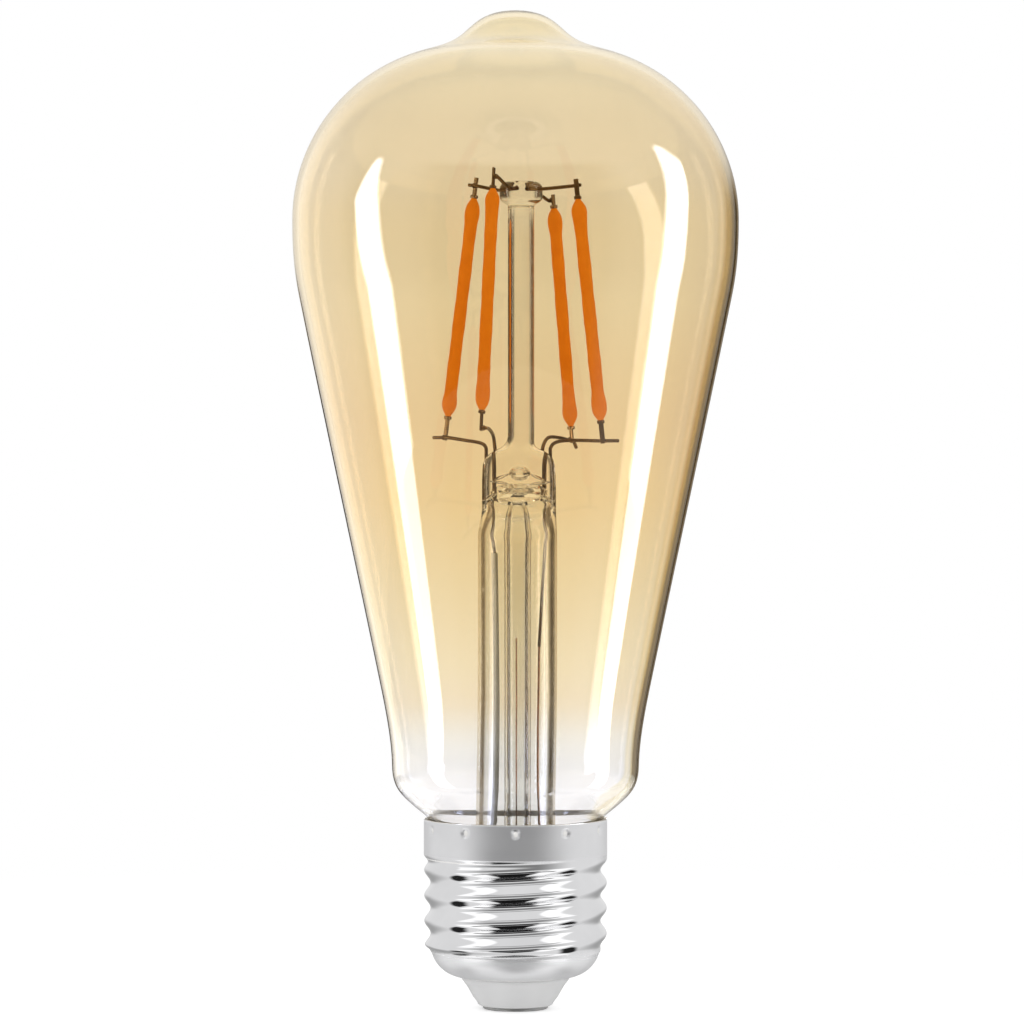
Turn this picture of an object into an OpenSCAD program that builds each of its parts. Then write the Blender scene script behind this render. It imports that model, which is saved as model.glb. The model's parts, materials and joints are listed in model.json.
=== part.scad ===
// Smart filament light bulb, ST64 pear shape on an E27 screw cap.
// The origin is the middle of the centre contact's lower face, and +Z points along the axis to the glass tip.

/* [Glass envelope] */
// Largest diameter of the glass
glass_d = 64; // [63.8:0.1:64.4]
// Height of the glass tip above the centre contact
total_h = 143.1; // [142.9:0.1:143.4]
// Wall of the blown glass
glass_wall = 0.9; // [0.7:0.05:1]
// Outer diameter of the neck that the cap is cemented on
neck_d = 24.4; // [24.2:0.1:24.4]

/* [Screw cap] */
// Crest diameter of the cap thread
thread_d = 26.2; // [26.05:0.05:26.3]
// Root diameter of the cap thread
thread_root_d = 24.4; // [24.3:0.02:24.6]
// Rise of the thread in one turn
thread_pitch = 3.629; // [3.6:0.001:3.66]
// Diameter of the plain collar above the thread
collar_d = 26.3; // [26.3:0.05:26.4]
// Height of the collar's rim above the centre contact
cap_h = 27.2; // [27.1:0.05:27.3]
// Sheet thickness of the cap
sheet = 0.3; // [0.25:0.01:0.3]
// Number of punched dimples round the collar
dimples = 11; // [8:1:14]

/* [Stem] */
// Outer diameter of the flared stem tube
stem_d = 11.4; // [11.2:0.1:11.6]
// Outer diameter of the exhaust tube and of the support post
post_d = 3.8; // [3.6:0.05:3.8]
// Height of the pinch's top, where the post starts
press_top = 80.2; // [80:0.1:80.4]
// Height of the bead's top
bead_top = 118.6; // [118.5:0.1:118.7]
// Sideways offset of the pinch from the cap's axis
press_x = 0.5; // [0:0.1:0.6]
// Sideways offset of the post and the bead
post_x = 0.8; // [0.7:0.1:0.9]

/* [Filaments] */
// Length of the phosphor coating of a filament
filament_l = 31.8; // [31:0.1:32]
// Diameter of the coating between its ends
filament_d = 1.75; // [1.6:0.05:1.8]
// Diameter of the coating's thicker ends
filament_end_d = 2.1; // [1.9:0.05:2.2]
// Number of light chips on a filament's strip
chips = 24; // [12:1:24]
// Diameter of the support wires
wire_d = 0.56; // [0.5:0.02:0.6]

/* [Driver] */
// Diameter of the round driver board
board_d = 21; // [20.6:0.1:21.4]
// Thickness of the driver board
board_t = 1; // [0.8:0.1:1.2]

/* [Hidden] */
$fn = 64;
eps = 0.01;

FILAMENTS = [1, 2, 3, 4];

glass_r = glass_d / 2;
neck_r = neck_d / 2;
stem_r = stem_d / 2;
post_r = post_d / 2;
wire_r = wire_d / 2;
collar_r = collar_d / 2;
board_r = board_d / 2;

// ---- curves and sweeps ----

// Points of a cubic curve from a to d, without its first point.
function curve(a, b, c, d, n = 8) = [
    for (i = [1:n]) let (t = i / n, s = 1 - t)
        s * s * s * a + 3 * s * s * t * b + 3 * s * t * t * c + t * t * t * d
];

// Points of an arc about c, from angle a0 to a1.
function arc(c, r, a0, a1, n = 12) = [
    for (i = [0:n]) let (a = a0 + (a1 - a0) * i / n) c + r * [cos(a), sin(a)]
];

function unit(v) = v / norm(v);
function last(list) = list[len(list) - 1];
function reversed(list) = [for (i = [len(list) - 1:-1:0]) list[i]];

// The direction of a line of points at point i.
function heading(line, i) = unit(line[min(i + 1, len(line) - 1)] - line[max(i - 1, 0)]);

// A flat line of points moved to its left by t.
function beside(line, t) = [
    for (i = [0:len(line) - 1]) let (h = heading(line, i)) line[i] + t * [-h[1], h[0]]
];

// A smooth line through hand-placed points.
function smooth(p, n = 4) = concat([p[0]], [
    for (i = [0:len(p) - 2])
        let (a = p[max(i - 1, 0)], b = p[i], c = p[i + 1], d = p[min(i + 2, len(p) - 1)])
        for (k = [1:n]) let (t = k / n)
            0.5 * (2 * b + (c - a) * t + (2 * a - 5 * b + 4 * c - d) * t * t
                + (3 * b - a - 3 * c + d) * t * t * t)
]);

// A round wire along a line of points. side is any direction that the line never runs along.
module wire(line, r, side = [0, 1, 0], n = 8) {
    rings = [
        for (i = [0:len(line) - 1])
            let (h = heading(line, i), u = unit(cross(h, side)), v = cross(h, u))
            for (k = [0:n - 1]) line[i] + r * (cos(360 * k / n) * u + sin(360 * k / n) * v)
    ];
    m = len(line);
    sides = [
        for (i = [0:m - 2]) for (k = [0:n - 1])
            let (a = i * n + k, b = i * n + (k + 1) % n)
            [a, a + n, b + n, b]
    ];
    ends = [[for (k = [0:n - 1]) k], [for (k = [n - 1:-1:0]) (m - 1) * n + k]];
    polyhedron(rings, concat(sides, ends), convexity = 4);
}

// A box with its middle at the origin in X and Y, standing on z = 0.
module block(size) {
    translate([-size[0] / 2, -size[1] / 2, 0]) cube(size);
}

// ---- glass ----

neck_bottom = 23.4;   // where the neck is fused to the flare
dome_c = [7, 113];
dome_r = glass_r - 7;
dome_end = 73.8;      // angle where the dome runs into the tip
dome_foot = dome_c + dome_r * [cos(dome_end), sin(dome_end)];
tip_flank = [7.6, total_h - 3.35];

envelope_line = concat(
    [[neck_r, neck_bottom], [neck_r, 26.2]],
    curve([neck_r, 26.2], [neck_r, 27.5], [13.35, 28], [14.6, 29.1], 6),
    curve([14.6, 29.1], [16.5, 30.8], [17.65, 31.8], [17.7, 34.8], 8),
    curve([17.7, 34.8], [17.75, 38], [18.4, 41.7], [19.2, 45.6], 6),
    curve([31, 102], [31.8, 105.8], [glass_r, 109], [glass_r, dome_c[1]], 6),
    arc(dome_c, dome_r, 4, dome_end, 18),
    curve(dome_foot, [11.6, 137.7], [9.3, 138.3], tip_flank, 6),
    curve(tip_flank, [5.9, total_h - 1.9], [4.6, total_h], [0, total_h], 8)
);
function closed_at_axis(line) = concat(
    [for (i = [0:len(line) - 2]) line[i]], [[0, last(line)[1]]]
);

module glass_envelope() {
    inner = closed_at_axis(beside(envelope_line, glass_wall));
    color("#e0bd74", 0.4)
        rotate_extrude() polygon(concat(envelope_line, reversed(inner)));
}

stem_wall = 0.9;
press_bottom = 67.5;
stem_line = concat(
    [[neck_r, 22.5]],
    curve([neck_r, neck_bottom], [8.2, neck_bottom + 0.4], [stem_r, 25.6], [stem_r, 30.5], 10),
    [[stem_r, press_bottom]]
);

module stem_tube() {
    bore_line = concat(
        [[stem_r - stem_wall, press_bottom]],
        reversed(curve([neck_r - 1, 22.5], [7.6, 22.8], [stem_r - stem_wall, 25],
            [stem_r - stem_wall, 30.5], 10)),
        [[neck_r - 1, 22.5]]
    );
    color("#f0ead8", 0.35)
        rotate_extrude() polygon(concat(stem_line, bore_line));
}

press_t = 4.4;            // thickness of the flattened pinch
press_w = stem_d + 0.4;   // its width
flat_bottom = 72;         // where the tube has become flat
exhaust_x = 0.3;          // the exhaust tube's offset, as it leans on the wires
lead_x = 3.9;             // the lead-in wires' distance from the pinch's middle
lead_r = 0.23;
bore_r = post_r - 0.7;    // bore of the exhaust tube
hole_z = 75.4;            // height of the blown hole that the bulb was emptied through

// The flat oval section of the pinch, inset all round by gap.
module pinch_section(h, gap = 0) {
    hull() for (s = [-1, 1])
        translate([press_x + s * (press_w - press_t) / 2, 0, 0])
            cylinder(r = press_t / 2 - gap, h = h, $fn = 32);
}

module stem_press() {
    shoulder = press_t / 2 - 0.4;
    color("#f0ead8", 0.35) difference() {
        union() {
            hull() {
                translate([0, 0, press_bottom]) cylinder(r = stem_r, h = eps, $fn = 48);
                translate([0, 0, flat_bottom]) pinch_section(eps);
            }
            hull() {
                translate([0, 0, flat_bottom]) pinch_section(press_top - flat_bottom - 2.2);
                for (s = [-1, 1]) translate([press_x + s * 3.1, 0, press_top - shoulder])
                    rotate([90, 0, 0]) cylinder(r = shoulder, h = press_t - 1.6, center = true, $fn = 32);
            }
        }
        hull() {
            translate([0, 0, press_bottom - eps])
                cylinder(r = stem_r - stem_wall, h = eps, $fn = 48);
            translate([0, 0, flat_bottom - 1]) pinch_section(eps, press_t / 2 - 0.8);
        }
        translate([exhaust_x, 0, press_bottom - 1]) cylinder(r = post_r, h = flat_bottom - press_bottom + 1);
        translate([exhaust_x, 0, flat_bottom - eps]) cylinder(r = bore_r, h = hole_z - flat_bottom + eps);
        translate([exhaust_x, 0, hole_z]) sphere(r = bore_r);
        translate([exhaust_x, 0, hole_z]) rotate([90, 0, 0]) cylinder(r = bore_r - 0.15, h = press_t);
        for (s = [-1, 1]) translate([press_x + s * lead_x, 0, flat_bottom - 2])
            cylinder(r = lead_r, h = weld_z - flat_bottom + 2);
        for (i = FILAMENTS) translate([lower_foot(i)[0], lower_foot(i)[1], weld_z])
            cylinder(r = wire_r, h = press_top - weld_z + 1);
    }
}

exhaust_bottom = 20.4;

module exhaust_tube() {
    tip = arc([0, exhaust_bottom + post_r], post_r, -90, 0, 8);
    bore = arc([0, exhaust_bottom + post_r], bore_r, 0, -90, 8);
    color("#f0ead8", 0.35) translate([exhaust_x, 0, 0]) rotate_extrude() polygon(concat(
        tip, [[post_r, flat_bottom], [bore_r, flat_bottom]], bore
    ));
}

bead_r = 3.1;
bead_bottom = bead_top - 3.1;

module support_post() {
    foot = curve([post_r + 1.1, press_top], [post_r + 0.3, press_top + 0.1],
        [post_r, press_top + 0.5], [post_r, press_top + 1.4], 6);
    color("#f0ead8", 0.35) translate([post_x, 0, 0]) rotate_extrude() polygon(concat(
        [[0, press_top], [post_r + 1.1, press_top]], foot, [[post_r, bead_bottom], [0, bead_bottom]]
    ));
}

module post_bead() {
    h = bead_top - bead_bottom;
    color("#f0ead8", 0.35) translate([post_x, 0, 0]) difference() {
        rotate_extrude() polygon(concat(
            [[0, bead_bottom], [post_r, bead_bottom]],
            curve([post_r, bead_bottom], [bead_r - 0.1, bead_bottom + 0.1],
                [bead_r, bead_bottom + 0.7], [bead_r, bead_bottom + h / 2], 6),
            curve([bead_r, bead_bottom + h / 2], [bead_r, bead_top - 0.6],
                [bead_r - 0.5, bead_top], [post_r - 0.2, bead_top], 6),
            [[0, bead_top]]
        ));
        for (i = FILAMENTS) translate([0, 0, upper_z])
            rotate([0, 90, upper_angle(i)]) translate([0, 0, upper_start])
                cylinder(r = wire_r, h = bead_r);
    }
}

// ---- filaments ----

// Where each coating's top end is, and a point below that its lower end leans to.
filament_tops = [[-6, 4.6, 116.6], [-3.2, -7.2, 117.1], [5.6, 6.9, 115.3], [8.9, -3, 115.9]];
filament_feet = [[-9.85, 7, 85], [-4.7, -11, 85.8], [8.15, 9.6, 83.4], [12.1, -4.2, 84.3]];
function top_of(i) = filament_tops[i - 1];
function rise(i) = unit(filament_tops[i - 1] - filament_feet[i - 1]);
function foot_of(i) = top_of(i) - filament_l * rise(i);
// The direction that points from the axis out through a filament, square to it.
function outward(i) = let (u = rise(i), flat = [top_of(i)[0], top_of(i)[1], 0]) unit(flat - (flat * u) * u);
// The direction that a filament's strip and tabs face.
function facing(i) = cross(rise(i), outward(i));

strip = [0.3, 0.9, 29];      // the carrier strip
tab_t = 0.25;
tab_w = 0.7;
tab_grip = 1.6;              // how far a tab reaches into the coating
top_tab_out = [3, 3, 2, 2.9];
bottom_tab_out = [3.5, 2.9, 2.4, 3.3];
tab_in = (filament_l - strip[2]) / 2;

// Puts a piece drawn along +Z from a filament's lower coating end in its place.
module at_filament(i) {
    u = rise(i);
    x = facing(i);
    y = cross(u, x);
    p = foot_of(i);
    multmatrix([
        [x[0], y[0], u[0], p[0]],
        [x[1], y[1], u[1], p[1]],
        [x[2], y[2], u[2], p[2]],
        [0, 0, 0, 1]
    ]) children();
}

// The coating's outline, with a rounded, thicker bulb at each end.
function coating_half() = concat(
    [[0, 0], [tab_w / 2, 0]],
    curve([tab_w / 2, 0], [tab_w / 2 + 0.2, 0.5], [filament_end_d / 2, 0.9], [filament_end_d / 2, 2], 6),
    curve([filament_end_d / 2, 2], [filament_end_d / 2, 3.1], [filament_d / 2, 3.4], [filament_d / 2, 5], 5)
);

module chip_row(grow = 0) {
    step = (strip[2] - 2) / chips;
    for (k = [0:chips - 1]) translate([strip[0] / 2, 0, tab_in + 1 + (k + 0.5) * step])
        translate([-eps * grow, 0, -0.25 - grow / 2])
            cube_from_face([0.2 + grow, 0.5 + grow, 0.5 + grow]);
}

// A box that stands out from the strip's face, centred across it.
module cube_from_face(size) {
    translate([0, -size[1] / 2, 0]) cube(size);
}

module strip_body() {
    translate([0, 0, tab_in]) block(strip);
}

module tab_bar(i, from, to) {
    translate([0, 0, from]) block([tab_t, tab_w, to - from]);
}

module coating(i) {
    half = coating_half();
    color("#e07a1c") at_filament(i) difference() {
        rotate_extrude($fn = 32) polygon(concat(half,
            [for (p = reversed(half)) [p[0], filament_l - p[1]]]));
        strip_body();
        chip_row();
        tab_bar(i, -1, tab_in);
        tab_bar(i, filament_l - tab_in, filament_l + 1);
    }
}

module filament_strip(i) {
    color("#cfd3d6") at_filament(i) strip_body();
}

module filament_chips(i) {
    color("#7fa6d8") at_filament(i) chip_row();
}

module top_tab(i) {
    color("#8d7a55") at_filament(i) tab_bar(i, filament_l - tab_in, filament_l + top_tab_out[i - 1]);
}

module bottom_tab(i) {
    color("#8d7a55") at_filament(i) tab_bar(i, -bottom_tab_out[i - 1], tab_in);
}

// ---- wires ----

touch = tab_t / 2 + wire_r + eps;   // from a tab's middle to the middle of the wire welded on it

upper_z = bead_top - 1.1;
upper_start = 1.2;
weld_rise = [1.8, 1.7, 1.2, 2];     // how far above the coating each top tab is welded
upper_over = [0.9, 0.5, 0.5, 0.5];  // how far each upper wire runs on past the weld
wire_gap = 0.02;
function upper_angle(i) = atan2(top_of(i)[1], top_of(i)[0] - post_x);
function on_top_tab(i) = top_of(i) + weld_rise[i - 1] * rise(i) + touch * facing(i);

module upper_wire(i) {
    a = upper_angle(i);
    ray = [cos(a), sin(a), 0];
    start = [post_x, 0, upper_z] + upper_start * ray;
    bend = [post_x, 0, upper_z] + (bead_r + 0.4) * ray;
    weld = on_top_tab(i);
    line = smooth([start, bend, weld - tab_w * outward(i), weld, weld + upper_over[i - 1] * outward(i)]);
    color("#6e5a35") wire(line, wire_r - wire_gap, [0, 0, 1]);
}

weld_z = 73;                        // where the support wires meet the lead-in wires, inside the pinch
lower_feet = [[-4.2, 0.35], [-2.9, -0.35], [3.9, 0.35], [5, -0.35]];
function lower_foot(i) = lower_feet[i - 1];
weld_drop = [3.1, 2.5, 1.9, 2.9];   // how far below the coating each bottom tab is welded
function on_bottom_tab(i) = foot_of(i) - weld_drop[i - 1] * rise(i) + touch * facing(i);
lower_over = [1.9, 0.6, 0.7, 2.2];  // how far each lower wire runs on past the weld
// The level direction that each lower wire crosses its tab in.
function level(i) = let (o = outward(i)) unit([o[0], o[1], 0]);

// Hand-placed bends between the pinch and each filament's lower tab.
lower_bends = [
    [[-4.3, 0.5, 80.6], [-5.1, 1.7, 81.2], [-7.2, 4.2, 81.6]],
    [[-3, -0.7, 80.9], [-3.2, -2.2, 82.2], [-3.7, -6, 83]],
    [[4, 0.6, 80.8], [4.8, 2.8, 82], [6.5, 6, 82]],
    [[5.1, -0.5, 80.6], [6, -1, 81.3], [8.1, -2, 81.5]]
];

module lower_wire(i) {
    p = lower_foot(i);
    weld = on_bottom_tab(i);
    line = smooth(concat(
        [[p[0], p[1], weld_z], [p[0], p[1], press_top - 1]],
        lower_bends[i - 1],
        [weld - tab_w * level(i), weld, weld + lower_over[i - 1] * level(i)],
        i == 3 ? [weld + [1, 1, -1.2]] : []
    ));
    color("#6e5a35") wire(line, wire_r - wire_gap, unit([p[0] > 0 ? 1 : -1, -1, 0.25]));
}

left = -1;
right = 1;
lead_end = 52;          // lower end of the stiff lead-in wire on the right
sleeve_top = 65.5;
pad_z = 14.2;           // height of the output pads on the driver board
left_top = [-3, 0.1, sleeve_top];       // where the lead-in wire on the left ends and its tail starts
left_tail = [[-2.8, 0.2, 50], [-2.8, 0.3, 36], [-3.2, 0, 27.5], [-5.2, 1.6, 22.5], [-6, 3.2, 18], [-6, 4.6, pad_z]];
right_top = [3.4, 0, lead_end];
right_tail = [right_top, [3.2, 0, 38], [3.4, 0, 28], [4.8, 1.4, 21.6], [6.8, 2.8, 18], [7, 3, pad_z]];

module lead_in_left() {
    x = press_x + left * lead_x;
    color("#5f4d2e") wire([[x, 0, weld_z], [x, 0, 69.5], left_top], lead_r - 0.01);
}

module lead_in_right() {
    x = press_x + right * lead_x;
    color("#3f3524") wire([[x, 0, weld_z], [x, 0, 69.5], right_top], lead_r - 0.01);
}

left_tail_line = smooth(concat([left_top], left_tail), 5);
// The sleeve covers the tail down to where it leaves the stem.
sleeve_line = [for (p = left_tail_line) if (p[2] > 26) p];
sleeve_bore = 0.2;

module lead_tail_left() {
    color("#b87a4b") wire(left_tail_line, 0.17, [0.3, 1, 0.1]);
}

module lead_tail_right() {
    color("#b87a4b") wire(smooth(right_tail, 5), 0.17, [0.3, 1, 0.1]);
}

module lead_sleeve_left() {
    color("#f2efe6") difference() {
        wire(sleeve_line, 0.45, [0.3, 1, 0.1], 12);
        wire(concat([sleeve_line[0] + [0, 0, 0.5]], sleeve_line, [last(sleeve_line) - [0, 0, 0.5]]),
            sleeve_bore, [0.3, 1, 0.1], 12);
    }
}

// ---- screw cap ----

thread_r = thread_d / 2;
root_r = thread_root_d / 2;
thread_foot = 8.2;                          // height where the bowl ends and the thread zone starts
thread_head = 22.2;                         // height where the thread ends inside the collar
crest_z = 9 - thread_pitch / 2;             // height of a crest on the +X side, less whole turns
runout = 1.5;                               // height in which the thread fades into the collar
lap = 0.15;                                 // the thread's ends lap the collar and the bowl by this much
bowl_r = 4.7;
bowl_end = -asin((9.3 - thread_foot - lap) / bowl_r);
bowl_c = [root_r - lap - bowl_r * cos(bowl_end), 9.3];
insulator_z = bowl_c[1] - bowl_r;           // height of the bowl's lower edge
bowl_hole_r = 7.4;

function ease(x) = let (t = min(max(x, 0), 1)) t * t * (3 - 2 * t);

// Outer radius of the thread at angle a and height z.
function thread_at(a, z) =
    let (
        wave = (1 + cos(360 * ((z - crest_z) / thread_pitch - a / 360))) / 2,
        start = ease((z - thread_foot) / 1.2),
        stop = ease((z - thread_head + runout) / runout),
        r = root_r + (thread_r - root_r) * wave * start
    ) r + (collar_r - lap - r) * stop;

module thread_band(turn = 60, levels = 36) {
    function ring(inset) = [
        for (j = [0:levels]) for (i = [0:turn - 1])
            let (
                z = thread_foot + (thread_head - thread_foot) * j / levels,
                a = 360 * i / turn,
                r = thread_at(a, z) - inset
            ) [r * cos(a), r * sin(a), z]
    ];
    count = turn * (levels + 1);
    outer = [for (j = [0:levels - 1]) for (i = [0:turn - 1])
        let (a = j * turn + i, b = j * turn + (i + 1) % turn) [a, a + turn, b + turn, b]];
    inner = [for (f = outer) [f[3] + count, f[2] + count, f[1] + count, f[0] + count]];
    foot = [for (i = [0:turn - 1]) let (n = (i + 1) % turn) [i, n, n + count, i + count]];
    head = [for (f = foot) [for (k = [3:-1:0]) f[k] + turn * levels]];
    polyhedron(concat(ring(0), ring(sheet)), concat(outer, inner, foot, head), convexity = 10);
}

module screw_shell() {
    dimple_z = cap_h - 1.3;
    color("#c9cbcd") union() {
        thread_band();
        // plain collar
        difference() {
            translate([0, 0, thread_head - 2 * lap]) cylinder(r = collar_r, h = cap_h - thread_head + 2 * lap);
            translate([0, 0, thread_head - 1]) cylinder(r = collar_r - sheet, h = cap_h);
            for (k = [0:dimples - 1]) rotate([0, 0, -90 + 360 * k / dimples])
                translate([collar_r + 0.32, 0, dimple_z]) sphere(r = 0.55);
        }
        // rounded bowl under the thread
        rotate_extrude() polygon(concat(
            arc(bowl_c, bowl_r - sheet, bowl_end, -90, 10),
            [[bowl_hole_r, insulator_z + sheet], [bowl_hole_r, insulator_z]],
            arc(bowl_c, bowl_r, -90, bowl_end, 10)
        ));
    }
}

contact_t = 0.5;
contact_r = 4.8;
rivet_r = 1.4;

module cap_insulator() {
    color("#dcdcda") difference() {
        rotate_extrude() polygon([
            [rivet_r + 0.05, contact_t], [5.1, contact_t], [5.35, contact_t + 0.25],
            [7.75, insulator_z - 0.2], [7.75, insulator_z], [bowl_hole_r - 0.05, insulator_z],
            [bowl_hole_r - 0.05, insulator_z + sheet + 0.05], [8.3, insulator_z + sheet + 0.05],
            [8.3, 6.1], [rivet_r + 0.05, 6.1]
        ]);
    }
}

module centre_contact() {
    color("#b9b9b4") rotate_extrude() polygon(concat(
        [[0.6, 0], [contact_r - 0.4, 0]],
        arc([contact_r - 0.4, 0.4], 0.4, -90, 0, 5),
        [[contact_r, contact_t], [rivet_r, contact_t], [rivet_r, 6.1], [rivet_r + 0.5, 6.15],
         [rivet_r + 0.5, 6.4], [rivet_r - 0.35, 6.4], [rivet_r - 0.35, 1.2], [0, 1.2], [0, 0]]
    ));
}

neutral_r = 0.15;
neutral_x = collar_r - sheet - neutral_r - 0.04;   // between the neck and the collar

module basing_cement() {
    color("#d8d2c4") difference() {
        translate([0, 0, 22.9]) cylinder(r = collar_r - sheet, h = 4);
        translate([0, 0, 22]) cylinder(r = neck_r + 0.02, h = 6);
        translate([neutral_x, 0, 22]) cylinder(r = neutral_r, h = 6);
    }
}

module rim_solder() {
    color("#c4c6c8") intersection() {
        translate([neutral_x + 0.25, 0, cap_h - 0.25]) sphere(r = 0.45);
        translate([neutral_x, -1, cap_h]) cube([collar_r - neutral_x - 0.03, 2, 1]);
    }
}

// ---- driver and radio in the cap ----

cup_r = 11.5;
cup_floor = 8.8;
cup_top = 20.4;
board_z = 13.2;
top_z = board_z + board_t;

module driver_cup() {
    color("#ecebe6") difference() {
        translate([0, 0, cup_floor]) cylinder(r = cup_r, h = cup_top - cup_floor);
        translate([0, 0, cup_floor + 0.5]) cylinder(r = cup_r - 0.5, h = cup_top);
        translate([0, 0, cup_floor - 1]) cylinder(r = 3, h = 3);
        translate([cup_r - 0.5, 0, cup_top - 0.4]) rotate([0, 90, 0]) cylinder(r = 0.6, h = 2, center = true);
    }
}

module driver_board() {
    color("#2f6b46") difference() {
        translate([0, 0, board_z]) cylinder(r = board_r, h = board_t);
        for (p = [last(left_tail), last(right_tail), [9.6, 0, 0], [0, -2.5, 0]])
            translate([p[0], p[1], board_z - 1]) cylinder(r = 0.35, h = 3);
    }
}

module bulk_capacitor() {
    r = 3.15;
    h = 7.4;
    color("#31353d") translate([-5.6, -3.6, top_z]) rotate_extrude() polygon(concat(
        [[0, 0], [r - 0.3, 0]], arc([r - 0.3, 0.3], 0.3, -90, 0, 4),
        [[r, 0.9], [r - 0.25, 1.2], [r, 1.5]],
        arc([r - 0.3, h - 0.3], 0.3, 0, 90, 4), [[0, h]]
    ));
}

inductor_at = [4.9, -4.9, 0];

module inductor_core() {
    color("#4b4a4c") translate(inductor_at + [0, 0, top_z]) {
        cylinder(r = 3, h = 1);
        cylinder(r = 1.4, h = 5.4);
        translate([0, 0, 4.6]) cylinder(r = 3, h = 1);
    }
}

module inductor_winding() {
    color("#b0622c") translate(inductor_at + [0, 0, top_z]) rotate_extrude() polygon(concat(
        [[1.45, 1.02]],
        [for (k = [0:8]) for (e = arc([2.4, 1.22 + 0.395 * k], 0.195, -90, 90, 4)) e],
        [[1.45, 4.58]]
    ));
}

// A moulded chip under the board, with a row of legs on two sides.
module leaded_chip(size, legs, pitch) {
    drop = 0.35;
    translate([0, 0, board_z - size[2] - drop]) block(size);
    for (s = [-1, 1], k = [0:legs - 1])
        translate([(k - (legs - 1) / 2) * pitch, s * (size[1] / 2 + 0.35), board_z - size[2] / 2 - drop])
            block([0.4, 0.75, size[2] / 2 + drop]);
}

module bridge_rectifier() {
    color("#26282b") translate([-5.2, 2.6, 0]) leaded_chip([4.8, 3.8, 1.5], 2, 2.6);
}

module driver_chip() {
    color("#26282b") translate([4.6, 3.4, 0]) leaded_chip([4.9, 3.9, 1.4], 4, 1.27);
}

module fuse_resistor() {
    color("#5d7a9c") translate([-3.6, -5.4, board_z - 1.35]) rotate([0, 90, 0]) rotate_extrude() polygon(concat(
        [[0, 0.4]], arc([0.75, 0.9], 0.5, -90, 0, 5), [[1.1, 1.7], [1.1, 5.5]],
        arc([0.75, 6.3], 0.5, 0, 90, 5), [[0, 6.8]]
    ));
}

radio_y = 5.2;

module radio_board() {
    color("#1f4f7a") translate([0, radio_y, top_z]) block([9, 0.8, 8.6]);
}

module radio_shield() {
    color("#bfc3c7") translate([0, radio_y + 0.4, top_z + 1]) difference() {
        translate([-3.3, 0, 0]) cube([6.6, 1.5, 5.4]);
        translate([-3.1, -eps, 0.2]) cube([6.2, 1.3 + eps, 5]);
    }
}

antenna_line = [[0, radio_y - 0.65, top_z + 6.6], [0, radio_y - 0.65, 24], [0, 3.3, 28.5], [0, 3.3, 40], [0, 3.3, 53]];

module antenna_wire() {
    color("#b87a4b") wire(smooth(antenna_line), 0.2, [1, 0, 0]);
}

module neutral_wire() {
    color("#b9bcc0") wire(smooth([[9.6, 0, board_z - 0.6], [9.6, 0, 17], [10.6, 0, 19.2], [12, 0, 20.6],
        [neutral_x, 0, 22.4], [neutral_x, 0, 25], [neutral_x, 0, cap_h]], 4), neutral_r - 0.01);
}

module live_wire() {
    color("#a33a2e") wire(smooth([[0, -2.5, board_z + 0.4], [0, -2.5, 11.4], [0, -0.6, 9.6], [0, 0, 7.5], [0, 0, 1.25]]),
        0.3, [1, 0, 0]);
}

// ---- output ----

glass_envelope();
stem_tube();
stem_press();
exhaust_tube();
support_post();
post_bead();
for (i = FILAMENTS) {
    coating(i);
    filament_strip(i);
    filament_chips(i);
    top_tab(i);
    bottom_tab(i);
    upper_wire(i);
    lower_wire(i);
}
lead_in_left();
lead_in_right();
lead_tail_left();
lead_tail_right();
lead_sleeve_left();
screw_shell();
cap_insulator();
centre_contact();
basing_cement();
rim_solder();
driver_cup();
driver_board();
bulk_capacitor();
inductor_core();
inductor_winding();
bridge_rectifier();
driver_chip();
fuse_resistor();
radio_board();
radio_shield();
antenna_wire();
neutral_wire();
live_wire();
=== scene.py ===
"""Looks of an amber filament light bulb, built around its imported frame.

Every length in a dataclass field is in millimetres, because that is how a lamp maker draws a bulb, except the
depth of a finish's grain or waves, which is in metres. The helpers turn millimetres into metres. The bulb
stands on its centre contact at the origin and points up along +Z.
"""

from __future__ import annotations

import json
import logging
import math
from dataclasses import dataclass, field
from enum import Enum

import bmesh
import bpy
from mathutils import Matrix, Vector

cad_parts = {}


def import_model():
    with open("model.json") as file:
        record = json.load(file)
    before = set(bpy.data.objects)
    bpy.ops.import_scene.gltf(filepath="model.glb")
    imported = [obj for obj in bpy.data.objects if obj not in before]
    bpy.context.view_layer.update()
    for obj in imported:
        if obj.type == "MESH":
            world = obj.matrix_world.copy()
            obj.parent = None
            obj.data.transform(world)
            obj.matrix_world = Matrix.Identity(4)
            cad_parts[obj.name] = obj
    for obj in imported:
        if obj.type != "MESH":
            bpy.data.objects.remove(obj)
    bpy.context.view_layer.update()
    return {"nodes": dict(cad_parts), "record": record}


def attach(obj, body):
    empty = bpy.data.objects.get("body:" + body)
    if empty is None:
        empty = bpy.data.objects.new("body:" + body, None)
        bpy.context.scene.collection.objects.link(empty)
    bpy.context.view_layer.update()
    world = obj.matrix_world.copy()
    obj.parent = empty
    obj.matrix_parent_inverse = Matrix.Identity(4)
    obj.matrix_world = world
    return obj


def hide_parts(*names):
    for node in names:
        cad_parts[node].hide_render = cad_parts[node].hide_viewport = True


log = logging.getLogger("bulb")

MM = 0.001
Outline = list[tuple[float, float]]
Point = tuple[float, float, float]


# ---------------------------------------------------------------------------
# Lines and outlines
# ---------------------------------------------------------------------------


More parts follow.
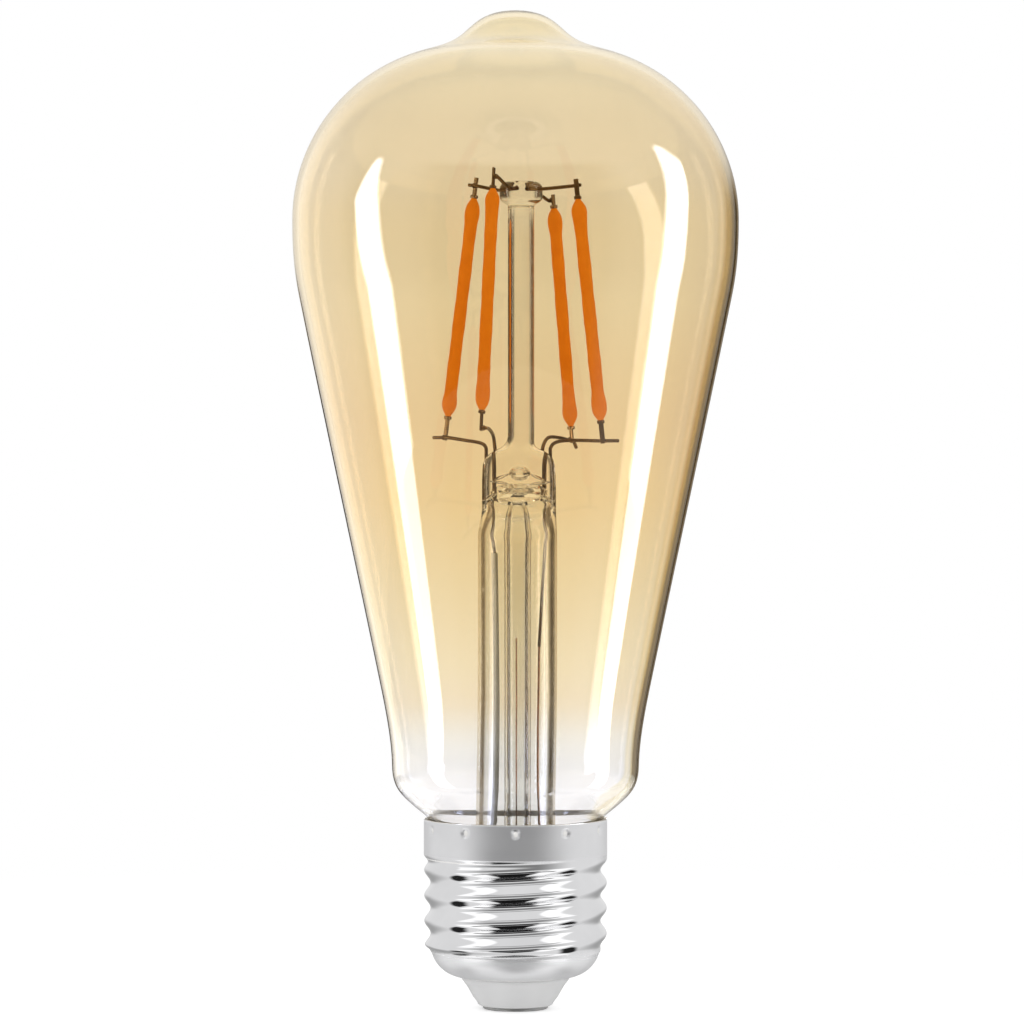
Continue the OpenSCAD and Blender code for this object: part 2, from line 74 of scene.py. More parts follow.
def bend(a: tuple, b: tuple, c: tuple, d: tuple, steps: int = 10) -> Outline:
    """Points of a cubic curve, without its first point.

    Args:
        a: start of the curve.
        b: first handle.
        c: second handle.
        d: end of the curve.
        steps: number of points.

    Returns:
        The points from just after a up to d.
    """
    out: Outline = []
    for i in range(1, steps + 1):
        t = i / steps
        s = 1.0 - t
        k = (s * s * s, 3 * s * s * t, 3 * s * t * t, t * t * t)
        out.append((
            k[0] * a[0] + k[1] * b[0] + k[2] * c[0] + k[3] * d[0],
            k[0] * a[1] + k[1] * b[1] + k[2] * c[1] + k[3] * d[1],
        ))
    return out


def round_corner(centre: tuple[float, float], radius: float, start: float, end: float,
                 steps: int = 8) -> Outline:
    """Points of an arc in the outline's plane, angles in degrees."""
    out: Outline = []
    for i in range(steps + 1):
        a = math.radians(start + (end - start) * i / steps)
        out.append((centre[0] + radius * math.cos(a), centre[1] + radius * math.sin(a)))
    return out


def set_back(line: Outline, wall: float) -> Outline:
    """A copy of an outline moved to its left by a wall's thickness."""
    out: Outline = []
    for i, (r, z) in enumerate(line):
        ahead = line[min(i + 1, len(line) - 1)]
        behind = line[max(i - 1, 0)]
        step = Vector((ahead[0] - behind[0], ahead[1] - behind[1])).normalized()
        out.append((r - wall * step.y, z + wall * step.x))
    return out


def smooth_route(points: list[Vector], steps: int = 8) -> list[Vector]:
    """A smooth line through given points.

    Args:
        points: the points that the line goes through.
        steps: number of pieces between two of them.

    Returns:
        The line's points, both ends included.
    """
    out = [points[0]]
    for i in range(len(points) - 1):
        a, b = points[max(i - 1, 0)], points[i]
        c, d = points[i + 1], points[min(i + 2, len(points) - 1)]
        for k in range(1, steps + 1):
            t = k / steps
            out.append(0.5 * (
                2 * b + (c - a) * t + (2 * a - 5 * b + 4 * c - d) * t * t + (3 * b - a - 3 * c + d) * t ** 3
            ))
    return out


def ease(x: float) -> float:
    """A smooth step from 0 to 1 as x goes from 0 to 1."""
    t = min(max(x, 0.0), 1.0)
    return t * t * (3.0 - 2.0 * t)


# ---------------------------------------------------------------------------
# Mesh work
# ---------------------------------------------------------------------------


class Workpiece:
    """One mesh on the bench, in millimetres, until it is finished as an object in metres."""

    def __init__(self, name: str) -> None:
        """Starts an empty mesh for the piece called name."""
        self.name = name
        self.mesh = bmesh.new()

    def turn(self, outline: Outline, steps: int = 96, closed: bool = False) -> list[bmesh.types.BMVert]:
        """Turns an outline about the bulb's axis, as on a lathe.

        Args:
            outline: (radius, height) points; a radius of 0 makes a pole.
            steps: number of steps in a full turn.
            closed: whether the outline's end joins its start.

        Returns:
            The new vertices.
        """
        bm = self.mesh
        before = set(bm.verts)
        start = bmesh.ops.create_vert(bm, co=(outline[0][0], 0.0, outline[0][1]))["vert"][0]
        first, last = start, start
        edges = []
        for r, z in outline[1:]:
            made = bmesh.ops.extrude_vert_indiv(bm, verts=[last])
            last = made["verts"][0]
            last.co = Vector((r, 0.0, z))
            edges += made["edges"]
        if closed:
            edges.append(bm.edges.new((last, first)))
        verts = list({v for e in edges for v in e.verts})
        bmesh.ops.spin(
            bm, geom=verts + edges, cent=(0, 0, 0), axis=(0, 0, 1), angle=math.tau, steps=steps,
            use_merge=True, use_normal_flip=False, use_duplicate=False,
        )
        new = [v for v in bm.verts if v not in before]
        bmesh.ops.remove_doubles(bm, verts=new, dist=1e-4)
        return [v for v in bm.verts if v.is_valid and v not in before]

    def loft(self, rings: list[list[Vector]], cap_start: bool = True, cap_end: bool = True) -> None:
        """Joins rings of points into a skin by extruding the first ring again and again.

        Args:
            rings: rings with the same number of points.
            cap_start: whether the first ring is closed with a face.
            cap_end: whether the last ring is closed with a face.
        """
        bm = self.mesh
        count = len(rings[0])
        base = bmesh.ops.create_circle(bm, cap_ends=False, radius=1.0, segments=count)["verts"]
        for v, p in zip(base, rings[0]):
            v.co = p
        loop = [e for e in {e for v in base for e in v.link_edges}]
        verts = list(base)
        if cap_start:
            bmesh.ops.contextual_create(bm, geom=loop)
        for ring in rings[1:]:
            made = bmesh.ops.extrude_edge_only(bm, edges=loop)["geom"]
            fresh = {e for e in made if isinstance(e, bmesh.types.BMVert)}
            ordered = []
            for v in verts:
                ordered.append(next(e.other_vert(v) for e in v.link_edges if e.other_vert(v) in fresh))
            for v, p in zip(ordered, ring):
                v.co = p
            loop = [
                e for e in made
                if isinstance(e, bmesh.types.BMEdge) and e.verts[0] in fresh and e.verts[1] in fresh
            ]
            verts = ordered
        if cap_end:
            bmesh.ops.contextual_create(bm, geom=loop)

    def draw_wire(self, route: list[Vector], radius: float, sides: int = 12, bore: float = 0.0) -> None:
        """Draws a round wire along a route.

        Args:
            route: the wire's middle line.
            radius: the wire's radius.
            sides: number of sides.
            bore: radius of a hole along it, or 0 for a solid wire.
        """
        frames = self._frames(route)
        outer = [self._ring(p, u, v, radius, sides) for p, u, v in frames]
        if not bore:
            tip = radius * 0.35
            start = frames[0][0] - (route[1] - route[0]).normalized() * tip
            end = frames[-1][0] + (route[-1] - route[-2]).normalized() * tip
            first = self._ring(start, *frames[0][1:], radius * 0.6, sides)
            last = self._ring(end, *frames[-1][1:], radius * 0.6, sides)
            self.loft([first, *outer, last])
            return
        inner = [self._ring(p, u, v, bore, sides) for p, u, v in frames]
        self.loft([inner[0], *outer, *reversed(inner)], cap_start=False, cap_end=False)
        bmesh.ops.remove_doubles(self.mesh, verts=self.mesh.verts, dist=1e-4)

    @staticmethod
    def _frames(route: list[Vector]) -> list[tuple[Vector, Vector, Vector]]:
        """Two steady cross directions at each point of a route."""
        out = []
        heading = (route[1] - route[0]).normalized()
        side = heading.orthogonal().normalized()
        for i, p in enumerate(route):
            ahead = route[min(i + 1, len(route) - 1)] - route[max(i - 1, 0)]
            turn = heading.rotation_difference(ahead.normalized())
            heading = ahead.normalized()
            side = (turn @ side).normalized()
            side = (side - heading * side.dot(heading)).normalized()
            out.append((p, side, heading.cross(side)))
        return out

    @staticmethod
    def _ring(p: Vector, u: Vector, v: Vector, radius: float, sides: int) -> list[Vector]:
        """A ring of points about p in the plane of u and v."""
        angles = [math.tau * k / sides for k in range(sides)]
        return [p + radius * (math.cos(a) * u + math.sin(a) * v) for a in angles]

    def block(self, size: tuple[float, float, float], at: tuple[float, float, float], edge: float = 0.0,
              turn: float = 0.0) -> None:
        """Adds a block with rounded edges.

        Args:
            size: its sides.
            at: its middle.
            edge: radius of its edges, or 0 for sharp ones.
            turn: turn about the vertical, in degrees.
        """
        bm = self.mesh
        made = bmesh.ops.create_cube(bm, size=1.0)["verts"]
        bmesh.ops.scale(bm, vec=size, verts=made)
        if edge:
            edges = list({e for v in made for e in v.link_edges})
            made = bmesh.ops.bevel(
                bm, geom=edges, offset=edge, offset_type="OFFSET", affect="EDGES", segments=3, profile=0.5,
                material=-1, clamp_overlap=True,
            )["verts"]
            made = self._island(made[0])
        bmesh.ops.rotate(bm, cent=(0, 0, 0), matrix=Matrix.Rotation(math.radians(turn), 3, "Z"), verts=made)
        bmesh.ops.translate(bm, vec=at, verts=made)

    @staticmethod
    def _island(seed: bmesh.types.BMVert) -> list[bmesh.types.BMVert]:
        """Every vertex joined to seed."""
        seen, queue = {seed}, [seed]
        while queue:
            for e in queue.pop().link_edges:
                for v in e.verts:
                    if v not in seen:
                        seen.add(v)
                        queue.append(v)
        return list(seen)

    def finish(self, material: bpy.types.Material, replaces: tuple[str, ...] = (), slot: str = "",
               smooth: float = 40.0, inward: list | None = None) -> bpy.types.Object:
        """Sets the mesh's faces outward, scales it to metres and makes it a dressed object that rides on the
        bulb.

        Args:
            material: the piece's material.
            replaces: nodes of the frame that the piece stands for.
            slot: the record's material slot; not used.
            smooth: edges flatter than this many degrees are shaded smooth.
            inward: vertices of hollows whose faces must point into the hollow.

        Returns:
            The finished object.
        """
        bm = self.mesh
        bmesh.ops.recalc_face_normals(bm, faces=bm.faces)
        if inward:
            hollow = {v for v in inward if v.is_valid}
            bmesh.ops.reverse_faces(bm, faces=[f for f in bm.faces if all(v in hollow for v in f.verts)])
        obj = self._release(material, smooth)
        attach(obj, "root")
        if replaces:
            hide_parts(*replaces)
        return obj

    def place_on_stage(self, material: bpy.types.Material) -> bpy.types.Object:
        """Makes the mesh an object in the scene that isn't attached to the bulb."""
        obj = self._release(material, 40.0)
        return obj

    def _release(self, material: bpy.types.Material, smooth: float) -> bpy.types.Object:
        """Scales the mesh to metres and puts it in the scene as an object."""
        bm = self.mesh
        bmesh.ops.scale(bm, vec=(MM, MM, MM), verts=bm.verts)
        limit = math.radians(smooth)
        for f in bm.faces:
            f.smooth = True
        for e in bm.edges:
            e.smooth = len(e.link_faces) != 2 or e.calc_face_angle(0.0) < limit
        data = bpy.data.meshes.new(self.name)
        bm.to_mesh(data)
        bm.free()
        obj = bpy.data.objects.new(self.name, data)
        bpy.context.scene.collection.objects.link(obj)
        data.materials.append(material)
        log.info("%s: %d faces", self.name, len(data.polygons))
        return obj


# ---------------------------------------------------------------------------
# Finishes
# ---------------------------------------------------------------------------

Colour = tuple[float, float, float]


class Graph:
    """A material's nodes, with its Principled shader at hand."""

    def __init__(self, name: str) -> None:
        """Starts a material called name with one Principled shader."""
        self.material = bpy.data.materials.new(name)
        self.material.use_nodes = True
        self.nodes = self.material.node_tree.nodes
        self.links = self.material.node_tree.links
        self.shader = next(n for n in self.nodes if n.type == "BSDF_PRINCIPLED")
        self.output = next(n for n in self.nodes if n.type == "OUTPUT_MATERIAL")
        self._place: bpy.types.Node | None = None

    def node(self, kind: str, **settings: object) -> bpy.types.Node:
        """Adds a node. Settings are the node's own properties."""
        made = self.nodes.new(kind)
        for key, value in settings.items():
            setattr(made, key, value)
        return made

    def join(self, source: bpy.types.NodeSocket, target: bpy.types.NodeSocket) -> None:
        """Links two sockets."""
        self.links.new(source, target)

    def set(self, **values: object) -> None:
        """Sets the shader's own sockets; an underscore in a name stands for a space."""
        for key, value in values.items():
            if isinstance(value, tuple) and len(value) == 3:
                value = (*value, 1.0)
            self.shader.inputs[key.replace("_", " ")].default_value = value

    def place(self) -> bpy.types.NodeSocket:
        """The place of a point on the piece, in metres."""
        if self._place is None:
            self._place = self.node("ShaderNodeTexCoord")
        return self._place.outputs["Object"]

    def height(self) -> bpy.types.NodeSocket:
        """The height of a point above the centre contact, in metres."""
        return self._part("Z")

    def side(self) -> bpy.types.NodeSocket:
        """How far a point lies to the right of the bulb's axis, in metres."""
        return self._part("X")

    def _part(self, axis: str) -> bpy.types.NodeSocket:
        """One part of a point's place."""
        split = self.node("ShaderNodeSeparateXYZ")
        self.join(self.place(), split.inputs[0])
        return split.outputs[axis]

    def distance(self, point: Point) -> bpy.types.NodeSocket:
        """The distance of a place from a point given in millimetres, in metres."""
        away = self.node("ShaderNodeVectorMath", operation="DISTANCE")
        away.inputs[1].default_value = tuple(MM * c for c in point)
        self.join(self.place(), away.inputs[0])
        return away.outputs["Value"]

    def radius(self) -> bpy.types.NodeSocket:
        """The distance of a place from the bulb's axis, in metres."""
        flat = self.node("ShaderNodeVectorMath", operation="MULTIPLY")
        flat.inputs[1].default_value = (1.0, 1.0, 0.0)
        self.join(self.place(), flat.inputs[0])
        length = self.node("ShaderNodeVectorMath", operation="LENGTH")
        self.join(flat.outputs[0], length.inputs[0])
        return length.outputs["Value"]

    def noise(self, scale: float, detail: float = 3.0,
              stretch: Point = (1.0, 1.0, 1.0)) -> bpy.types.NodeSocket:
        """Cloudy noise; scale is in cells for each metre."""
        mapping = self.node("ShaderNodeMapping")
        mapping.inputs["Scale"].default_value = stretch
        self.join(self.place(), mapping.inputs["Vector"])
        noise = self.node("ShaderNodeTexNoise")
        noise.inputs["Scale"].default_value = scale
        noise.inputs["Detail"].default_value = detail
        self.join(mapping.outputs[0], noise.inputs["Vector"])
        return noise.outputs[0]

    def spread(self, source: bpy.types.NodeSocket, low: float, high: float, start: float = 0.3,
               end: float = 0.7) -> bpy.types.NodeSocket:
        """Stretches a value that runs from start to end over the range from low to high."""
        span = self.node("ShaderNodeMapRange")
        for key, value in (("From Min", start), ("From Max", end), ("To Min", low), ("To Max", high)):
            span.inputs[key].default_value = value
        self.join(source, span.inputs["Value"])
        return span.outputs[0]

    def step(self, source: bpy.types.NodeSocket, span: tuple[float, float], low: float = 0.0,
             high: float = 1.0) -> bpy.types.NodeSocket:
        """Goes from low to high as a length in metres passes over a span given in millimetres."""
        return self.spread(source, low, high, span[0] * MM, span[1] * MM)

    def product(self, first: bpy.types.NodeSocket, second: bpy.types.NodeSocket) -> bpy.types.NodeSocket:
        """The product of two values."""
        times = self.node("ShaderNodeMath", operation="MULTIPLY")
        self.join(first, times.inputs[0])
        self.join(second, times.inputs[1])
        return times.outputs[0]

    def larger(self, first: bpy.types.NodeSocket, second: bpy.types.NodeSocket) -> bpy.types.NodeSocket:
        """The larger of two values."""
        most = self.node("ShaderNodeMath", operation="MAXIMUM")
        self.join(first, most.inputs[0])
        self.join(second, most.inputs[1])
        return most.outputs[0]

    def total(self, first: bpy.types.NodeSocket, second: bpy.types.NodeSocket) -> bpy.types.NodeSocket:
        """The sum of two values."""
        plus = self.node("ShaderNodeMath", operation="ADD")
        self.join(first, plus.inputs[0])
        self.join(second, plus.inputs[1])
        return plus.outputs[0]

    def blend(self, share: bpy.types.NodeSocket, first: Colour | bpy.types.NodeSocket,
              second: Colour | bpy.types.NodeSocket, kind: str = "MIX") -> bpy.types.NodeSocket:
        """Blends two colours by a share from 0 to 1.

        Args:
            share: how much of the second colour is used.
            first: a colour, or the socket that gives one.
            second: a colour, or the socket that gives one.
            kind: how the second colour acts on the first, MIX or MULTIPLY.

        Returns:
            The blended colour.
        """
        mix = self.node("ShaderNodeMix", data_type="RGBA", blend_type=kind)
        for slot, colour in ((mix.inputs[6], first), (mix.inputs[7], second)):
            if isinstance(colour, bpy.types.NodeSocket):
                self.join(colour, slot)
            else:
                slot.default_value = (*colour, 1.0)
        self.join(share, mix.inputs[0])
        return mix.outputs[2]

    def bump(self, source: bpy.types.NodeSocket, depth: float, strength: float = 1.0) -> None:
        """Presses a height pattern into the surface; depth is in metres."""
        bump = self.node("ShaderNodeBump")
        bump.inputs["Strength"].default_value = strength
        bump.inputs["Distance"].default_value = depth
        self.join(source, bump.inputs["Height"])
        self.join(bump.outputs[0], self.shader.inputs["Normal"])

    def edge(self, start: float = 0.75, end: float = 1.0) -> bpy.types.NodeSocket:
        """A share that rises from 0 to 1 where the surface turns away from the eye, as at a rim."""
        facing = self.node("ShaderNodeLayerWeight")
        facing.inputs["Blend"].default_value = 0.5
        return self.spread(facing.outputs["Facing"], 0.0, 1.0, start, end)

    def let_light_through(self, tint: Colour) -> None:
        """Lets shadow rays pass, so that clear glass doesn't keep light from what is inside it."""
        path = self.node("ShaderNodeLightPath")
        clear = self.node("ShaderNodeBsdfTransparent")
        clear.inputs[0].default_value = (*tint, 1.0)
        mix = self.node("ShaderNodeMixShader")
        self.join(path.outputs["Is Shadow Ray"], mix.inputs[0])
        self.join(self.shader.outputs[0], mix.inputs[1])
        self.join(clear.outputs[0], mix.inputs[2])
        self.join(mix.outputs[0], self.output.inputs["Surface"])


@dataclass(frozen=True)
class AmberGlass:
    """Clear blown glass with an amber tint that fades out towards the neck."""

    name: str = "amber_glass"
    ior: float = 1.48
    waves: float = 28.0
    depth: float = 0.00004
    shadow: Colour = (0.9, 0.84, 0.7)
    # painted shade: the thin dark line at the rim, standing for the dark surroundings that the rim reflects,
    # partly the real deeper tint where the eye looks through the film at a slant; its shares of the turn away
    # from the eye, and the heights where it ends
    rim: Colour = (0.12, 0.1, 0.06)
    rim_shade_span: tuple[float, float] = (0.86, 0.92)
    rim_shade_fade: tuple[float, float] = (104.0, 118.0)
    rim_shade_foot: tuple[float, float] = (31.0, 38.0)
    # painted shade: the olive band inside that line, on the right side only, standing for the darker
    # surroundings that this side of the glass shows
    olive_shade: Colour = (0.86, 0.76, 0.5)
    olive_shade_span: tuple[float, float] = (0.62, 0.66)
    olive_shade_side: tuple[float, float] = (4.0, 14.0)
    olive_shade_fade: tuple[float, float] = (112.0, 128.0)
    # tint of one wall at some heights
    tints: tuple[tuple[float, Colour], ...] = (
        (32.0, (0.98, 0.978, 0.992)), (38.4, (0.985, 0.962, 0.914)), (44.1, (0.967, 0.885, 0.739)),
        (49.9, (0.963, 0.876, 0.698)), (61.4, (0.94, 0.829, 0.612)), (73.0, (0.927, 0.785, 0.543)),
        (84.0, (0.905, 0.764, 0.54)), (101.0, (0.9, 0.79, 0.58)), (113.0, (0.9, 0.787, 0.577)),
        (119.0, (0.885, 0.786, 0.605)), (130.0, (0.868, 0.781, 0.608)), (138.0, (0.905, 0.835, 0.66)),
    )
    # where the film is deepest
    deep: Colour = (0.965, 0.91, 0.82)
    deep_at: Point = (16.0, 0.0, 98.0)
    deep_reach: float = 26.0

    def make(self) -> bpy.types.Material:
        """Builds the material."""
        g = Graph(self.name)
        g.set(Roughness=0.0, IOR=self.ior, Transmission_Weight=1.0)
        cloud = g.step(g.distance(self.deep_at), (0.0, self.deep_reach), 1.0, 0.0)
        cloud.node.interpolation_type = "SMOOTHSTEP"
        tint = g.blend(cloud, self._film(g), self.deep, "MULTIPLY")
        # painted shade: the olive band near the rim on the right side
        olive_shade_band = g.product(g.edge(*self.olive_shade_span), g.step(g.side(), self.olive_shade_side))
        olive_shade_band = g.product(olive_shade_band, g.step(g.height(), self.olive_shade_fade, 1.0, 0.0))
        tint = g.blend(olive_shade_band, tint, self.olive_shade, "MULTIPLY")
        # painted shade: darkens the tint to the rim's colour where the glass turns away from the eye, between
        # the rim's heights
        line = g.product(g.edge(*self.rim_shade_span), g.step(g.height(), self.rim_shade_fade, 1.0, 0.0))
        line = g.product(line, g.step(g.height(), self.rim_shade_foot))
        g.join(g.blend(line, tint, self.rim), g.shader.inputs["Base Color"])
        g.bump(g.noise(self.waves, 1.0), self.depth, 0.4)
        g.let_light_through(self.shadow)
        return g.material

    def _film(self, g: Graph) -> bpy.types.NodeSocket:
        """The amber film's colour, which changes with height."""
        low, top = self.tints[0][0], self.tints[-1][0]
        film = g.node("ShaderNodeValToRGB")
        ramp = film.color_ramp
        for height, tint in self.tints[1:-1]:
            ramp.elements.new((height - low) / (top - low)).color = (*tint, 1.0)
        ramp.elements[0].color = (*self.tints[0][1], 1.0)
        ramp.elements[-1].color = (*self.tints[-1][1], 1.0)
        g.join(g.step(g.height(), (low, top)), film.inputs[0])
        return film.outputs[0]


@dataclass(frozen=True)
class ClearGlass:
    """Fused clear glass, with the faint waves of glass that was worked in a flame."""

    name: str = "clear_glass"
    ior: float = 1.52
    shadow: Colour = (0.95, 0.95, 0.93)
    tint: Colour = (0.97, 0.97, 0.95)
    # painted shade: a dark brown edge where the glass turns away from the eye, standing for the dark
    # surroundings that the edge shows
    rim: Colour = (0.22, 0.14, 0.045)
    rim_shade_start: float = 0.55
    waves: float = 90.0
    depth: float = 0.00003

    def make(self) -> bpy.types.Material:
        """Builds the material."""
        g = Graph(self.name)
        g.set(Roughness=0.0, IOR=self.ior, Transmission_Weight=1.0)
        # painted shade: the tint goes over into the dark edge colour as the glass turns away from the eye
        g.join(g.blend(g.edge(self.rim_shade_start, 1.0), self.tint, self.rim), g.shader.inputs["Base Color"])
        g.bump(g.noise(self.waves, 1.0, (1.0, 1.0, 0.25)), self.depth, 0.4)
        g.let_light_through(self.shadow)
        return g.material


class Grain(Enum):
    """How a solid finish's fine grain lies."""

    EVEN = (1.0, 1.0, 1.0)
    ALONG = (1.0, 1.0, 0.08)
    AROUND = (0.12, 0.12, 1.0)


@dataclass(frozen=True)
class Solid:
    """An opaque finish with two close shades, uneven gloss, a fine grain and, where asked, a painted glow of
    its own shade.
    """

    name: str
    shade: Colour
    second: Colour
    rough: tuple[float, float] = (0.35, 0.5)
    metal: float = 0.0
    cloud: float = 300.0
    grain: float = 4000.0
    depth: float = 0.00001
    lay: Grain = Grain.EVEN
    coat: float = 0.0
    specular: float = 0.5
    # strength of painted light: a glow in the finish's own shade, for a part that is no lamp
    painted_glow: float = 0.0

    def make(self) -> bpy.types.Material:
        """Builds the material."""
        g = Graph(self.name)
        g.set(Metallic=self.metal, Coat_Weight=self.coat, Specular_IOR_Level=self.specular)
        cloud = g.noise(self.cloud, 3.0)
        g.join(g.blend(g.spread(cloud, 0.0, 1.0), self.shade, self.second), g.shader.inputs["Base Color"])
        g.join(g.spread(cloud, *self.rough), g.shader.inputs["Roughness"])
        g.bump(g.noise(self.grain, 2.0, self.lay.value), self.depth, 0.5)
        # painted light: the finish glows in its own shade, though it is no lamp
        if self.painted_glow:
            g.set(Emission_Color=self.shade, Emission_Strength=self.painted_glow)
        return g.material


@dataclass(frozen=True)
class PlatedShell:
    """Bright nickel plate on the thread, satin on the collar and the bowl, and a dull inside painted a pale
    matte colour so that it looks lit.
    """

    name: str = "nickel_plated_shell"
    shade: Colour = (0.83, 0.83, 0.84)
    second: Colour = (0.76, 0.76, 0.77)
    # painted light: the collar's inside gets this pale matte colour instead of plate, so that it shows
    # lighter than its shade would let it
    lit_inside: Colour = (0.8, 0.79, 0.77)
    polished: float = 0.04
    satin: float = 0.34
    streaks: tuple[float, float] = (-0.01, 0.03)
    streak_scale: float = 900.0
    cloud: float = 140.0
    depth: float = 0.000004
    bowl_metal: float = 0.62
    # heights and radii between which one finish goes over into the next
    collar_gloss: tuple[float, float] = (21.6, 22.4)
    bowl_gloss: tuple[float, float] = (7.6, 8.6)
    bowl_plate: tuple[float, float] = (8.3, 8.9)
    collar_foot: tuple[float, float] = (21.5, 21.6)
    inside_radius: tuple[float, float] = (12.93, 12.95)

    def make(self) -> bpy.types.Material:
        """Builds the material."""
        g = Graph(self.name)
        up = g.height()
        streaks = g.noise(self.streak_scale, 4.0, Grain.AROUND.value)
        satin = g.larger(g.step(up, self.collar_gloss, self.polished, self.satin),
                         g.step(up, self.bowl_gloss, self.satin, 0.0))
        g.join(g.total(satin, g.spread(streaks, *self.streaks)), g.shader.inputs["Roughness"])
        plated = g.larger(g.step(g.radius(), self.inside_radius), g.step(up, self.collar_foot, 1.0, 0.0))
        metal = g.product(plated, g.step(up, self.bowl_plate, self.bowl_metal, 1.0))
        g.join(metal, g.shader.inputs["Metallic"])
        plate = g.blend(g.spread(g.noise(self.cloud), 0.0, 1.0), self.shade, self.second)
        # painted light: the inside of the collar takes the pale matte colour
        g.join(g.blend(plated, self.lit_inside, plate), g.shader.inputs["Base Color"])
        g.bump(streaks, self.depth, 0.25)
        return g.material


FINISHES = {
    # the phosphor's glow is painted light: it glows in its own shade though the bulb is not lit
    "phosphor": Solid("phosphor", (0.9, 0.26, 0.005), (0.82, 0.21, 0.003), (0.45, 0.6),
                      cloud=500.0, grain=2500.0, depth=0.00003, specular=0.15, painted_glow=0.26),
    "carrier_strip": Solid("carrier_strip", (0.72, 0.73, 0.74), (0.62, 0.63, 0.64), (0.25, 0.4), metal=1.0),
    "led_chip": Solid("led_chip", (0.35, 0.5, 0.72), (0.28, 0.42, 0.66), (0.08, 0.15), coat=0.5),
    "tab_metal": Solid("tab_metal", (0.3, 0.2, 0.1), (0.17, 0.11, 0.055), (0.3, 0.45), metal=1.0,
                       lay=Grain.ALONG),
    "nickel_wire": Solid("nickel_wire", (0.22, 0.14, 0.065), (0.13, 0.08, 0.035), (0.28, 0.42), metal=1.0,
                         lay=Grain.ALONG),
    "copper": Solid("copper", (0.62, 0.34, 0.19), (0.5, 0.26, 0.14), (0.22, 0.35),
                    metal=1.0, lay=Grain.ALONG),
    "sleeve": Solid("sleeve", (0.86, 0.85, 0.8), (0.74, 0.72, 0.66), (0.75, 0.9),
                    grain=3500.0, depth=0.00006),
    "cap_ceramic": Solid("cap_ceramic", (0.62, 0.62, 0.62), (0.58, 0.58, 0.58), (0.28, 0.4), cloud=120.0,
                         depth=0.000006, specular=0.5),
    "contact_metal": Solid("contact_metal", (0.42, 0.42, 0.41), (0.3, 0.3, 0.3), (0.3, 0.48),
                           metal=1.0, cloud=500.0),
    "cement": Solid("cement", (0.74, 0.71, 0.64), (0.6, 0.57, 0.5), (0.85, 0.95), cloud=900.0, grain=5000.0,
                    depth=0.00008),
    "solder": Solid("solder", (0.68, 0.69, 0.7), (0.56, 0.57, 0.58), (0.18, 0.34), metal=1.0, cloud=1500.0,
                    depth=0.00003),
    "driver_plastic": Solid("driver_plastic", (0.8, 0.79, 0.76), (0.74, 0.73, 0.7), (0.5, 0.62)),
    "board_green": Solid("board_green", (0.03, 0.16, 0.07), (0.02, 0.11, 0.05), (0.2, 0.32),
                         coat=0.4, cloud=700.0),
    "board_blue": Solid("board_blue", (0.015, 0.08, 0.22), (0.01, 0.05, 0.15), (0.2, 0.32),
                        coat=0.4, cloud=700.0),
    "capacitor_sleeve": Solid("capacitor_sleeve", (0.02, 0.022, 0.03), (0.03, 0.033, 0.045), (0.25, 0.4)),
    "ferrite": Solid("ferrite", (0.035, 0.035, 0.037), (0.06, 0.06, 0.06), (0.6, 0.8), cloud=1200.0,
                     grain=6000.0, depth=0.00003),
    "chip_black": Solid("chip_black", (0.012, 0.012, 0.014), (0.02, 0.02, 0.022), (0.45, 0.6), grain=9000.0,
                        depth=0.00001),
    "resistor_body": Solid("resistor_body", (0.08, 0.16, 0.28), (0.06, 0.12, 0.22), (0.25, 0.4), coat=0.3),
    "shield_steel": Solid("shield_steel", (0.62, 0.63, 0.65), (0.54, 0.55, 0.57), (0.25, 0.42), metal=1.0,
                          lay=Grain.ALONG),
    "tinned_wire": Solid("tinned_wire", (0.62, 0.62, 0.62), (0.5, 0.5, 0.5), (0.25, 0.4), metal=1.0),
    "wire_jacket": Solid("wire_jacket", (0.42, 0.035, 0.025), (0.34, 0.03, 0.02), (0.4, 0.55)),
}


class Paints:
    """Every material, made once."""

    def __init__(self) -> None:
        """Makes the glasses, the plated shell and the solid finishes."""
        self.amber = AmberGlass().make()
        self.clear = ClearGlass().make()
        self.shell = PlatedShell().make()
        self.solid = {name: finish.make() for name, finish in FINISHES.items()}

    def __getitem__(self, name: str) -> bpy.types.Material:
        """The solid finish called name."""
        return self.solid[name]


# ---------------------------------------------------------------------------
# Glass
# ---------------------------------------------------------------------------


